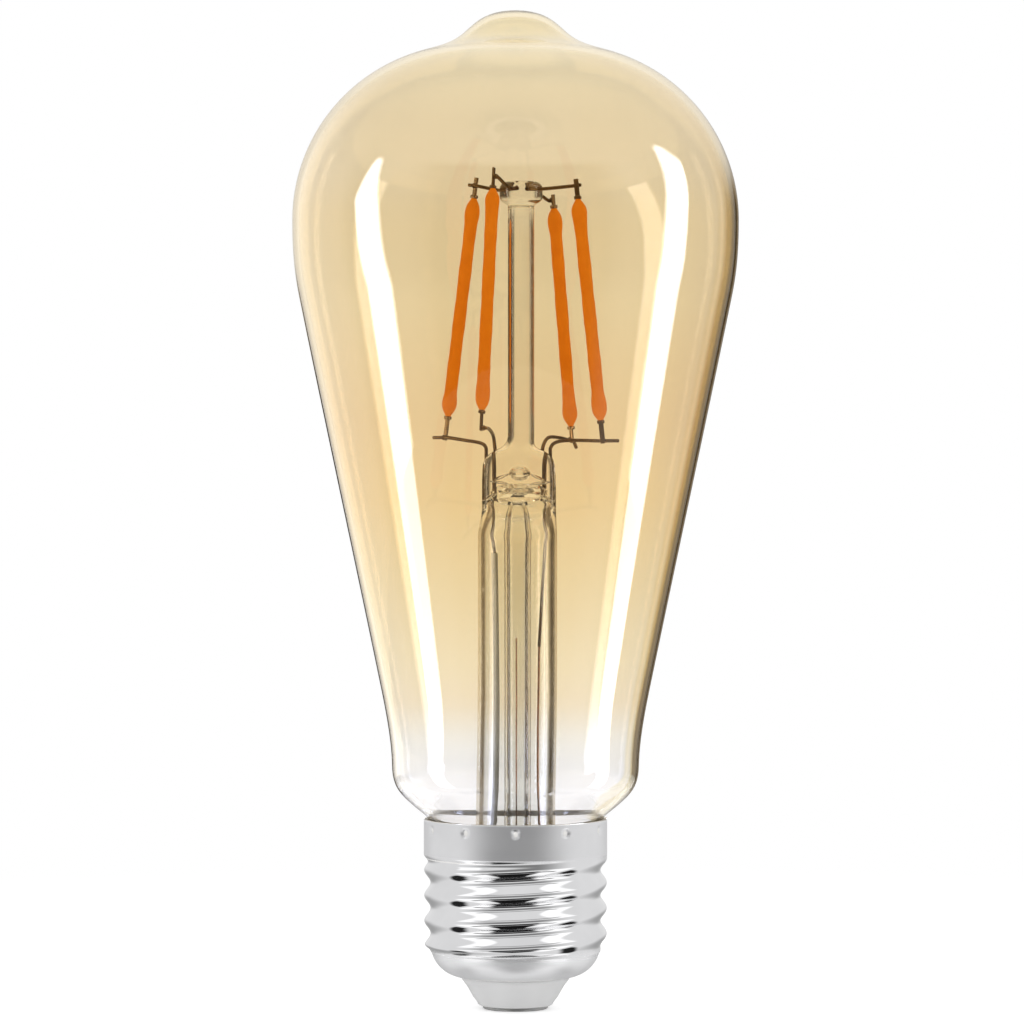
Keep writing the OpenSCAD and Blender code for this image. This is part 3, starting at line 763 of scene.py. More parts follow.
@dataclass
class Envelope:
    """The blown glass: a cone that swells into a dome with a sealed tip."""

    radius: float = 32.0
    height: float = 143.1
    wall: float = 0.9
    neck: float = 12.2
    neck_foot: float = 23.4
    dome_centre: tuple[float, float] = (7.0, 113.0)
    dome_end: float = 73.8
    steps: int = 192

    def outline(self) -> Outline:
        """The outer outline, from the neck's foot up to the tip."""
        reach = self.radius - self.dome_centre[0]
        foot = round_corner(self.dome_centre, reach, self.dome_end, self.dome_end, 1)[0]
        flank = (7.6, self.height - 3.35)
        line: Outline = [(self.neck, self.neck_foot), (self.neck, 26.2)]
        line += bend((self.neck, 26.2), (self.neck, 27.5), (13.35, 28), (14.6, 29.1), 8)
        line += bend((14.6, 29.1), (16.5, 30.8), (17.65, 31.8), (17.7, 34.8), 12)
        line += bend((17.7, 34.8), (17.75, 38), (18.4, 41.7), (19.2, 45.6), 10)
        line += bend((19.2, 45.6), (23, 64), (27.2, 83.4), (31, 102), 12)
        line += bend((31, 102), (31.8, 105.8), (self.radius, 109), (self.radius, self.dome_centre[1]), 10)
        line += round_corner(self.dome_centre, reach, 2.5, self.dome_end, 32)
        line += bend(foot, (11.6, 137.7), (9.3, 138.3), flank, 10)
        line += bend(flank, (5.9, self.height - 1.9), (4.6, self.height), (0, self.height), 14)
        return line

    def build(self, paints: Paints) -> None:
        """Blows the glass with its real wall."""
        outer = self.outline()
        inner = set_back(outer, self.wall)
        inner[-1] = (0.0, inner[-1][1])
        piece = Workpiece("glass_bulb")
        piece.turn(outer + inner[::-1], self.steps, closed=False)
        rim = [v for v in piece.mesh.verts if abs(v.co.z - self.neck_foot) < 1e-3]
        edges = [e for e in {e for v in rim for e in v.link_edges} if e.is_boundary]
        bmesh.ops.bridge_loops(piece.mesh, edges=edges)
        piece.finish(paints.amber, ("glass_envelope",), "amber_glass")


@dataclass
class Stem:
    """The fused glass that carries the wires: flared tube, pinch, post and bead, in one piece."""

    neck: float = 12.2
    radius: float = 5.7
    wall: float = 0.9
    flare_foot: float = 22.5
    flare_top: float = 27.2
    press_foot: float = 67.5
    flat_foot: float = 72.0
    press_top: float = 80.2
    press_half_width: float = 5.9
    press_half_depth: float = 2.2
    shoulder: float = 77.6
    press_offset: float = 0.5
    post_offset: float = 0.8
    post_radius: float = 1.9
    bead_radius: float = 3.1
    bead_foot: float = 115.5
    bead_top: float = 118.6
    tube_offset: float = 0.3
    # half width, half depth, height and unevenness of the folds where the pinch has closed the bore
    folds: list[tuple[float, float, float, float]] = field(default_factory=lambda: [
        (4.8, 3.9, 69.0, 0.0), (4.75, 2.6, 70.5, 0.0), (4.6, 1.7, 71.6, 0.04), (4.8, 1.3, 72.3, 0.08),
        (4.4, 1.6, 72.8, 0.1), (4.7, 1.05, 73.3, 0.12), (4.2, 1.35, 73.8, 0.12), (4.45, 0.8, 74.3, 0.12),
        (3.8, 1.1, 74.7, 0.1), (3.2, 0.6, 75.1, 0.08), (1.6, 0.3, 75.3, 0.03),
    ])
    # middle and half sizes of the bubbles that the pinch has trapped, and their tilt in degrees
    bubbles: list[tuple[Point, Point, float]] = field(
        default_factory=lambda: [
            ((0.6, 0.0, 76.75), (1.5, 1.25, 1.1), 0.0), ((-1.9, -0.9, 76.3), (1.1, 0.6, 0.28), 24.0),
            ((-2.3, -1.0, 75.5), (1.3, 0.5, 0.22), -8.0), ((3.1, -0.9, 76.2), (1.1, 0.6, 0.25), -26.0),
            ((3.5, -1.0, 75.4), (1.4, 0.5, 0.25), 6.0), ((0.7, -0.9, 74.0), (1.4, 0.6, 0.5), 2.0),
            ((-3.4, -0.6, 73.4), (0.9, 0.5, 0.3), 35.0), ((4.3, -0.7, 73.2), (0.9, 0.5, 0.3), -30.0),
        ])
    sides: int = 72

    def _middle(self, z: float) -> float:
        """How far the stem's middle stands beside the axis at a height, as the mount leans a little."""
        side = self.tube_offset * ease((z - 30.0) / 15.0)
        side += (self.press_offset - self.tube_offset) * ease((z - self.press_foot) / 4.5)
        return side + (self.post_offset - self.press_offset) * ease((z - self.press_top) / 2.0)

    def _section(self, half_width: float, half_depth: float, z: float, uneven: float = 0.0) -> list[Vector]:
        """A ring at height z: a circle, or a flat oval with round ends, that may be a little uneven."""
        ring = []
        middle = self._middle(z)
        flat = max(0.0, half_width - half_depth)
        for k in range(self.sides):
            a = math.tau * k / self.sides
            push = flat * (2.0 / math.pi) * math.atan(4.0 * math.cos(a))
            lift = uneven * (math.sin(3.0 * a + 2.3 * z) + 0.6 * math.sin(7.0 * a - 1.7 * z))
            across = half_depth * math.cos(a) + push + middle
            ring.append(Vector((across, half_depth * math.sin(a), z + lift)))
        return ring

    def _outer_rings(self) -> list[list[Vector]]:
        """Rings from the flare's rim up to the bead's top."""
        low, top, r = self.flare_foot, self.flare_top, self.radius
        flare = [(self.neck, low)]
        flare += bend((self.neck, low + 0.9), (8.2, low + 1.0), (r, top - 3.0), (r, top), 12)
        rings = [self._section(r, r, z) for r, z in flare]
        rings += [self._section(self.radius, self.radius, z) for z in (40.0, 50.0, 60.0, self.press_foot)]
        for i in range(1, 11):
            t = ease(i / 10)
            rings.append(self._section(
                self.radius + (self.press_half_width - self.radius) * t,
                self.radius + (self.press_half_depth - self.radius) * t,
                self.press_foot + (self.flat_foot - self.press_foot) * i / 10,
            ))
        rings.append(self._section(self.press_half_width, self.press_half_depth, 75.5))
        start = (self.press_half_width - 0.1, self.shoulder)
        rings.append(self._section(start[0], self.press_half_depth, start[1]))
        shoulder = bend(start, (5.7, 79.2), (4.4, 79.9), (3.2, 80.3), 9)
        shoulder += bend((3.2, 80.3), (2.4, 80.6), (self.post_radius, 81.0), (self.post_radius, 82.2), 7)
        for r, z in shoulder:
            share = min(1.0, max(0.0, (r - self.post_radius) / (self.press_half_width - self.post_radius)))
            half_depth = self.post_radius + (self.press_half_depth - self.post_radius) * share
            rings.append(self._section(r, half_depth, z))
        rings += [self._section(self.post_radius, self.post_radius, z) for z in (90.0, 100.0, 110.0)]
        low, top, r = self.bead_foot, self.bead_top, self.bead_radius
        bead = [(self.post_radius, low - 0.5)]
        bead += bend(bead[0], (self.post_radius + 0.1, low + 0.1), (r, low), (r, low + 1.0), 8)
        bead += [(r, top - 1.1)]
        bead += bend((r, top - 1.1), (r, top - 0.3), (r - 0.6, top), (self.post_radius, top), 8)
        bead += [(1.2, top + 0.02), (0.5, top + 0.05)]
        rings += [self._section(a, a, z) for a, z in bead]
        return rings

    def _bore_rings(self) -> list[list[Vector]]:
        """Rings of the tube's bore, from the flare up to where the pinch has closed it."""
        r = self.radius - self.wall
        low, top = self.flare_foot, self.flare_top - 0.6
        flare = [(self.neck - 1, low)]
        flare += bend((self.neck - 1, low), (7.6, low + 0.1), (r, top - 3.2), (r, top), 12)
        rings = [self._section(a, a, z) for a, z in flare]
        rings += [self._section(r, r, z) for z in (45.0, 60.0, self.press_foot - 0.5)]
        rings += [self._section(w, d, z, uneven) for w, d, z, uneven in self.folds]
        return rings

    def build(self, paints: Paints) -> None:
        """Fuses the stem with its bore and the bubbles in its pinch."""
        piece = Workpiece("stem_glass")
        outer = self._outer_rings()
        bore = self._bore_rings()
        piece.loft([*reversed(bore), *outer])
        bm = piece.mesh
        hollow: list[bmesh.types.BMVert] = []
        for middle, size, tilt in self.bubbles:
            made = bmesh.ops.create_uvsphere(bm, u_segments=24, v_segments=14, radius=1.0)["verts"]
            bmesh.ops.scale(bm, vec=size, verts=made)
            turn = Matrix.Rotation(math.radians(-tilt), 3, "Y")
            bmesh.ops.rotate(bm, cent=(0, 0, 0), matrix=turn, verts=made)
            bmesh.ops.translate(bm, vec=middle, verts=made)
            hollow += made
        piece.finish(paints.clear, ("stem_tube", "stem_press", "support_post", "post_bead"), "clear_glass",
                     inward=hollow)


@dataclass
class ExhaustTube:
    """The thin tube inside the stem that the bulb was emptied through."""

    radius: float = 1.9
    bore: float = 1.2
    foot: float = 20.4
    top: float = 73.0
    offset: float = 0.3

    def build(self, paints: Paints) -> None:
        """Draws the tube with its melted tip."""
        line = round_corner((0.0, self.foot + self.radius), self.radius, -90, 0, 8)
        r, bore, top = self.radius, self.bore, self.top
        line += bend((r, top - 5), (r, top - 3), (1.6, top - 1), (1.0, top), 8)
        line += bend((0.6, top), (0.9, top - 1), (bore, top - 3), (bore, top - 5), 8)
        line += round_corner((0.0, self.foot + self.radius), self.bore, 0, -90, 8)
        line[0] = (0.0, line[0][1])
        line[-1] = (0.0, line[-1][1])
        piece = Workpiece("exhaust_glass")
        piece.turn(line, 48)
        bmesh.ops.translate(piece.mesh, vec=(self.offset, 0.0, 0.0), verts=piece.mesh.verts)
        piece.finish(paints.clear, ("exhaust_tube",), "clear_glass")


# ---------------------------------------------------------------------------
# Filaments and wires
# ---------------------------------------------------------------------------


@dataclass
class Filament:
    """One coated filament with its tabs and its two support wires."""

    number: int
    top: Point
    foot: Point
    top_weld: float
    top_over: float
    foot_weld: float
    foot_over: float
    bends: list[Point]
    start: tuple[float, float]
    top_tab: float
    foot_tab: float
    droop: bool = False
    length: float = 31.8
    radius: float = 0.875
    end_radius: float = 1.05
    tab_width: float = 0.7
    tab_thick: float = 0.25
    wire: float = 0.26
    bead_height: float = 117.5
    bead_offset: float = 0.8

    def __post_init__(self) -> None:
        """Works out the filament's directions."""
        top = Vector(self.top)
        self.rise = (top - Vector(self.foot)).normalized()
        flat = Vector((top.x, top.y, 0.0))
        self.outward = (flat - flat.dot(self.rise) * self.rise).normalized()
        self.facing = self.rise.cross(self.outward)
        self.low = top - self.length * self.rise
        self.high = top
        self.touch = self.tab_thick / 2 + self.wire + 0.03

    def _stand(self) -> Matrix:
        """The placement of a piece that was turned about the Z axis from 0 up."""
        turn = Matrix((self.facing, self.rise.cross(self.facing), self.rise)).transposed()
        return Matrix.Translation(self.low) @ turn.to_4x4()

    def coat(self, paints: Paints) -> None:
        """Moulds the phosphor coating, a little uneven, with a bulb at each end."""
        bulge, r = self.end_radius, self.radius
        half: Outline = [(0.0, 0.0), (0.35, 0.02)]
        half += bend((0.35, 0.02), (0.55, 0.5), (bulge, 0.9), (bulge, 2.0), 9)
        half += bend((bulge, 1.9), (bulge, 3.0), (r, 3.3), (r, 5.0), 7)
        middle = [(r, 5.0 + (self.length - 10.0) * k / 24) for k in range(1, 24)]
        line = half + middle + [(a, self.length - z) for a, z in reversed(half)]
        piece = Workpiece(f"phosphor_coat_{self.number}")
        piece.turn(line, 32)
        phase = self.number * 1.7
        for v in piece.mesh.verts:
            lump = 1.0 + 0.03 * math.sin(v.co.z * 0.9 + phase) + 0.02 * math.sin(v.co.z * 2.3 + phase * 2)
            v.co.x *= lump
            v.co.y *= lump * 1.04
        bmesh.ops.transform(piece.mesh, matrix=self._stand(), verts=piece.mesh.verts)
        piece.finish(paints["phosphor"], (f"filament_{self.number}_coating",), "phosphor")

    def tabs(self, paints: Paints) -> None:
        """Presses the two welding tabs, with the crimp that grips the coating."""
        grip = 1.4
        ends = (("top", 1, self.top_tab, self.length), ("bottom", -1, self.foot_tab, 0.0))
        for end, sign, reach, base in ends:
            piece = Workpiece(f"weld_tab_{end}_{self.number}")
            size = (self.tab_thick, self.tab_width, reach + grip)
            piece.block(size, (0, 0, base + (reach - grip) / 2 * sign), 0.06)
            piece.block((self.tab_thick + 0.5, self.tab_width + 0.25, 0.5), (0, 0, base + sign * 0.2), 0.12)
            bmesh.ops.transform(piece.mesh, matrix=self._stand(), verts=piece.mesh.verts)
            node = f"filament_{self.number}_{end}_tab"
            piece.finish(paints["tab_metal"], (node,), "tab_metal", smooth=30.0)

    def upper_wire(self, paints: Paints) -> None:
        """Bends the wire from the bead to the upper tab, with a weld spot."""
        a = math.atan2(self.top[1], self.top[0] - self.bead_offset)
        ray = Vector((math.cos(a), math.sin(a), 0.0))
        origin = Vector((self.bead_offset, 0.0, self.bead_height))
        weld = self.high + self.top_weld * self.rise + self.touch * self.facing
        route = smooth_route([
            origin + 0.9 * ray, origin + 3.5 * ray, weld - self.tab_width * self.outward, weld,
            weld + self.top_over * self.outward,
        ])
        piece = Workpiece(f"support_wire_upper_{self.number}")
        piece.draw_wire(route, self.wire)
        self._spot(piece, weld)
        piece.finish(paints["nickel_wire"], (f"upper_wire_{self.number}",), "nickel_wire")

    def lower_wire(self, paints: Paints) -> None:
        """Bends the wire from the pinch to the lower tab, with a weld spot."""
        weld = self.low - self.foot_weld * self.rise + self.touch * self.facing
        x, y = self.start
        points = [Vector((x, y, 73.0)), Vector((x, y, 79.2)), *(Vector(p) for p in self.bends)]
        level = Vector((self.outward.x, self.outward.y, 0.0)).normalized()
        points += [weld - self.tab_width * level, weld, weld + self.foot_over * level]
        if self.droop:
            points.append(weld + Vector((1.0, 1.0, -1.2)))
        piece = Workpiece(f"support_wire_lower_{self.number}")
        piece.draw_wire(smooth_route(points), self.wire)
        self._spot(piece, weld)
        piece.finish(paints["nickel_wire"], (f"lower_wire_{self.number}",), "nickel_wire")

    def _spot(self, piece: Workpiece, weld: Vector) -> None:
        """Adds the flattened spot where a wire is welded to its tab."""
        bm = piece.mesh
        made = bmesh.ops.create_icosphere(bm, subdivisions=2, radius=1.0)["verts"]
        bmesh.ops.scale(bm, vec=(self.wire * 1.25, self.wire * 1.25, self.wire * 1.5), verts=made)
        bmesh.ops.translate(bm, vec=weld, verts=made)

    def build(self, paints: Paints) -> None:
        """Builds every visible piece of the filament."""
        self.coat(paints)
        self.tabs(paints)
        self.upper_wire(paints)
        self.lower_wire(paints)


def filaments() -> list[Filament]:
    """The four filaments, in the order of their nodes."""
    return [
        Filament(1, (-6, 4.6, 116.6), (-9.85, 7, 85), 1.8, 0.9, 3.1, 1.9,
                 [(-4.3, 0.5, 80.6), (-5.1, 1.7, 81.2), (-7.2, 4.2, 81.6)], (-4.2, 0.35), 3.0, 3.5),
        Filament(2, (-3.2, -7.2, 117.1), (-4.7, -11, 85.8), 1.7, 0.5, 2.5, 0.6,
                 [(-3, -0.7, 80.9), (-3.2, -2.2, 82.2), (-3.7, -6, 83)], (-2.9, -0.35), 3.0, 2.9),
        Filament(3, (5.6, 6.9, 115.3), (8.15, 9.6, 83.4), 1.2, 0.5, 1.9, 0.7,
                 [(4, 0.6, 80.8), (4.8, 2.8, 82), (6.5, 6, 82)], (3.9, 0.35), 2.0, 2.4, droop=True),
        Filament(4, (8.9, -3, 115.9), (12.1, -4.2, 84.3), 2.0, 0.5, 2.9, 2.2,
                 [(5.1, -0.5, 80.6), (6, -1, 81.3), (8.1, -2, 81.5)], (5, -0.35), 2.9, 3.3),
    ]


@dataclass
class LeadIns:
    """The wires in the stem: stiff leads in the pinch, thin tails to the driver, and the aerial."""

    lead_radius: float = 0.24
    tail_radius: float = 0.17
    sleeve_radius: float = 0.45
    sleeve_bore: float = 0.2
    sleeve_foot: float = 26.0
    aerial_radius: float = 0.2
    left_lead: list[Point] = field(default_factory=lambda: [(-3.4, 0, 73), (-3.4, 0, 69.5), (-3, 0.1, 65.5)])
    right_lead: list[Point] = field(default_factory=lambda: [(4.4, 0, 73), (4.4, 0, 69.5), (3.4, 0, 52)])
    left_tail: list[Point] = field(default_factory=lambda: [
        (-3, 0.1, 65.5), (-2.8, 0.2, 50), (-2.8, 0.3, 36), (-3.2, 0, 27.5), (-5.2, 1.6, 22.5), (-6, 3.2, 18),
        (-6, 4.6, 14.2),
    ])
    right_tail: list[Point] = field(default_factory=lambda: [
        (3.4, 0, 52), (3.2, 0, 38), (3.4, 0, 28), (4.8, 1.4, 21.6), (6.8, 2.8, 18), (7, 3, 14.2),
    ])
    aerial: list[Point] = field(default_factory=lambda: [
        (0, 4.55, 20.8), (0, 4.55, 24), (0, 3.3, 28.5), (0, 3.3, 40), (0, 3.3, 53),
    ])

    def build(self, paints: Paints) -> None:
        """Draws the leads, the tails, the sleeve and the aerial."""
        for name, points in (("left", self.left_lead), ("right", self.right_lead)):
            piece = Workpiece(f"lead_wire_{name}")
            piece.draw_wire(self._route(points), self.lead_radius)
            piece.finish(paints["nickel_wire"], (f"lead_in_{name}",), "nickel_wire")
        for name, points in (("left", self.left_tail), ("right", self.right_tail)):
            piece = Workpiece(f"lead_tail_copper_{name}")
            piece.draw_wire(self._route(points), self.tail_radius)
            piece.finish(paints["copper"], (f"lead_tail_{name}",), "copper")
        piece = Workpiece("lead_sleeve_woven")
        covered = [p for p in self._route(self.left_tail) if p.z > self.sleeve_foot]
        piece.draw_wire(covered, self.sleeve_radius, 16, self.sleeve_bore)
        piece.finish(paints["sleeve"], ("lead_sleeve_left",), "sleeve")
        piece = Workpiece("aerial_wire")
        piece.draw_wire(self._route(self.aerial), self.aerial_radius)
        piece.finish(paints["copper"], ("antenna_wire",), "copper")

    @staticmethod
    def _route(points: list[Point]) -> list[Vector]:
        """The smooth middle line of a wire through its points."""
        return smooth_route([Vector(p) for p in points])


# ---------------------------------------------------------------------------
# Screw cap
# ---------------------------------------------------------------------------


@dataclass
class ScrewCap:
    """The threaded shell, its insulator, its centre contact and the seam of cement in its collar."""

    thread: float = 13.1
    root: float = 12.2
    collar: float = 13.15
    pitch: float = 3.629
    rim: float = 27.2
    sheet: float = 0.3
    thread_foot: float = 8.2
    thread_head: float = 22.2
    runout: float = 1.5
    crest: float = 9.0 - 3.629 / 2
    bowl: float = 4.7
    bowl_height: float = 9.3
    bowl_hole: float = 7.4
    dimples: int = 11
    dimple_height: float = 25.9
    dimple_size: tuple[float, float] = (0.62, 0.72)
    dimple_depth: float = 0.3
    steps: int = 360

    def _swell(self, angle: float, z: float) -> float:
        """How far the thread stands out from the root at an angle and a height."""
        turns = (z - self.crest) / self.pitch - angle / math.tau
        wave = (1.0 + math.cos(math.tau * turns)) / 2.0
        crest = wave * ease((z - self.thread_foot) / 1.2)
        stop = ease((z - self.thread_head + self.runout) / self.runout)
        return (self.thread - self.root) * crest * (1.0 - stop) + (self.collar - self.root) * stop

    def _dent(self, angle: float, z: float) -> float:
        """Depth of the nearest punched dimple at a point of the collar."""
        step = math.tau / self.dimples
        near = (angle + math.pi / 2 + step / 2) % step - step / 2
        across = near * self.collar / self.dimple_size[0]
        up = (z - self.dimple_height) / self.dimple_size[1]
        return self.dimple_depth * max(0.0, 1.0 - across * across - up * up) ** 0.8

    def shell(self, paints: Paints) -> None:
        """Rolls the thread, the collar and the bowl out of one sheet."""
        centre = (self.root - self.bowl, self.bowl_height)
        edge_low = self.bowl_height - self.bowl
        outer: Outline = [(self.bowl_hole, edge_low)] + round_corner(centre, self.bowl, -88, -14, 14)
        levels, collar_levels = 112, 34
        span = self.thread_head - self.thread_foot
        collar_span = self.rim - 0.15 - self.thread_head
        outer += [(self.root, self.thread_foot + span * k / levels) for k in range(levels + 1)]
        for k in range(1, collar_levels + 1):
            outer.append((self.root, self.thread_head + collar_span * k / collar_levels))
        inner: Outline = [(self.root - self.sheet, self.rim - 0.1)]
        inner += [(self.root - self.sheet, self.thread_head - span * k / 48) for k in range(49)]
        inner += round_corner(centre, self.bowl - self.sheet, -14, -88, 8)
        inner.append((self.bowl_hole, edge_low + self.sheet))
        line = outer + [(self.root - 0.08, self.rim - 0.02), (self.root - 0.22, self.rim - 0.02)] + inner
        piece = Workpiece("screw_shell_plated")
        piece.turn(line, self.steps, closed=True)
        for v in piece.mesh.verts:
            if v.co.z < self.thread_foot - 0.01:
                continue
            r = math.hypot(v.co.x, v.co.y)
            angle = math.atan2(v.co.y, v.co.x)
            grow = self._swell(angle, v.co.z) - self._dent(angle, v.co.z)
            v.co.x *= (r + grow) / r
            v.co.y *= (r + grow) / r
        piece.finish(paints.shell, ("screw_shell",), "nickel_plated_shell", smooth=50.0)

    def insulator(self, paints: Paints) -> None:
        """Moulds the pale insulator with its soft edges."""
        low, top = 0.5, self.bowl_height - self.bowl
        line: Outline = [(1.45, low + 0.05), (4.95, low + 0.02)]
        line += bend((4.95, low + 0.02), (5.3, low), (5.4, low + 0.2), (5.5, low + 0.45), 5)
        line += [(6.1, 1.75), (6.85, 3.05)]
        line += bend((6.85, 3.05), (7.25, 3.75), (7.7, 4.1), (7.75, top - 0.25), 6)
        line += [(7.75, top - 0.02), (7.35, top - 0.02), (7.35, top + 0.35), (8.3, top + 0.35)]
        line += [(8.3, 6.1), (1.45, 6.1)]
        piece = Workpiece("cap_insulator_moulded")
        piece.turn(line, 128, closed=True)
        piece.finish(paints["cap_ceramic"], ("cap_insulator",), "cap_ceramic", smooth=35.0)

    def contact(self, paints: Paints) -> None:
        """Presses the centre contact, with its rolled edge and its solder point."""
        line: Outline = [(0.0, 0.12), (0.9, 0.1), (1.5, 0.02), (2.1, 0.0), (4.3, 0.0)]
        line += round_corner((4.4, 0.32), 0.32, -90, 60, 7)
        line += [(4.5, 0.5), (1.4, 0.52), (1.4, 6.2), (1.0, 6.2), (1.0, 1.2), (0.0, 1.2)]
        piece = Workpiece("centre_contact_pressed")
        piece.turn(line, 96)
        piece.finish(paints["contact_metal"], ("centre_contact",), "contact_metal", smooth=35.0)

    def seam(self, paints: Paints) -> None:
        """Smooths the cement off level with the collar's rim."""
        inside, rim = self.collar - self.sheet - 0.01, self.rim
        line: Outline = [(12.4, rim - 0.36), (inside, rim - 0.36), (inside, rim - 0.09), (12.72, rim - 0.01)]
        line += [(12.58, rim - 0.02), (12.47, rim - 0.14)]
        piece = Workpiece("cement_seam")
        piece.turn(line, 160, closed=True)
        piece.finish(paints["cement"], ("basing_cement",), "cement", smooth=50.0)

    def build(self, paints: Paints) -> None:
        """Builds the shell, the seam of cement, the insulator and the contact."""
        self.shell(paints)
        self.seam(paints)
        self.insulator(paints)
        self.contact(paints)


# ---------------------------------------------------------------------------
# Studio
# ---------------------------------------------------------------------------


@dataclass(frozen=True)
class Patch:
    """A bright or dark area of the room.

    Attributes:
        level: its brightness.
        left: turn of its left side from the camera's side, in degrees.
        right: turn of its right side.
        low: height of its foot on the unit sphere.
        high: height of its top.
        soft: half width of its blurred sides, in degrees.
        soft_height: half height of its blurred foot and top.
        lean: how far it turns for each unit of height, above and below the middle.
        slant: rise of its top for each degree across.
        cut: height above which nothing of it is left.
    """

    level: float
    left: float
    right: float
    low: float
    high: float
    soft: float = 2.0
    soft_height: float = 0.05
    lean: tuple[float, float] = (0.0, 0.0)
    slant: float = 0.0
    cut: float = 2.0


# What the glass reflects: a pale room with a dim camera side, a bright wall on the left, dark corners
# toward the back and two tall softboxes.
ROOM = (
    Patch(1.05, -220.0, 220.0, 0.35, 1.5, 10.0, 0.2),
    Patch(0.08, -50.0, 50.0, -0.6, 0.5, 14.0),
    Patch(1.45, -152.0, -98.0, -0.8, 0.5, 8.0, 0.2),
    Patch(0.02, -200.0, -166.0, -0.7, 0.03, 1.5, 0.02),
    Patch(0.3, 138.0, 157.0, -0.7, 0.18, 4.0, 0.1),
    Patch(0.02, 157.0, 165.0, -0.7, 0.14, 1.0, 0.06),
    Patch(0.3, 165.0, 172.0, -0.7, 0.14, 1.0, 0.06),
    Patch(0.05, 172.0, 200.0, -0.7, 0.12, 1.0, 0.06),
    Patch(14.0, -88.5, -73.5, -0.8, 0.37, 1.0, 0.03, (-15.0, -12.0), 0.03, 0.48),
    Patch(14.0, 82.5, 98.0, -0.8, 0.5, 1.0, 0.03, (14.0, 4.0), -0.012, 0.56),
)
# What the cap reflects: dim walls in front and behind, bright strips beside them and some dark openings.
CAP_ROOM = (
    Patch(0.24, -50.0, 50.0, -0.3, 0.3, 28.0, 0.1),
    Patch(0.4, 140.0, 220.0, -0.9, -0.1, 20.0, 0.2),
    Patch(0.4, -220.0, -140.0, -0.9, -0.1, 20.0, 0.2),
    Patch(1.3, -86.0, -50.0, -0.94, -0.4, 5.0, 0.04),
    Patch(1.3, 50.0, 86.0, -0.94, -0.4, 5.0, 0.04),
    Patch(1.3, -86.0, -50.0, 0.4, 0.94, 5.0, 0.04),
    Patch(1.3, 50.0, 86.0, 0.4, 0.94, 5.0, 0.04),
    Patch(0.3, -64.0, 64.0, 0.55, 0.66, 6.0, 0.04),
    Patch(0.01, -37.0, 37.0, -0.84, -0.6, 4.0, 0.03),
    Patch(0.03, -72.0, 72.0, -0.8, -0.72, 4.0, 0.02),
    Patch(0.01, -50.0, 50.0, -1.5, -0.86, 5.0, 0.03),
    Patch(0.02, -146.0, -100.0, -0.84, -0.7, 4.0, 0.03),
    Patch(0.02, 100.0, 148.0, -0.84, -0.7, 4.0, 0.03),
)
# What is seen through the stem's glass and reflected inside the bulb: dark walls before a white backdrop.
BEHIND = (
    Patch(0.16, -150.0, 0.0, -0.7, 0.3, 6.0, 0.15),
    Patch(0.06, 0.0, 156.0, -0.7, 0.3, 6.0, 0.15),
)
LAMP_LEVEL = 5.0  # patches brighter than this are lamps
WHITE: Colour = (1.0, 1.0, 1.0)
DARK_LEVEL = 0.5  # parts of the room darker than this take the brown shade
OUTER_WALLS = 4.0  # glass surfaces that a ray passes on its way through the empty envelope


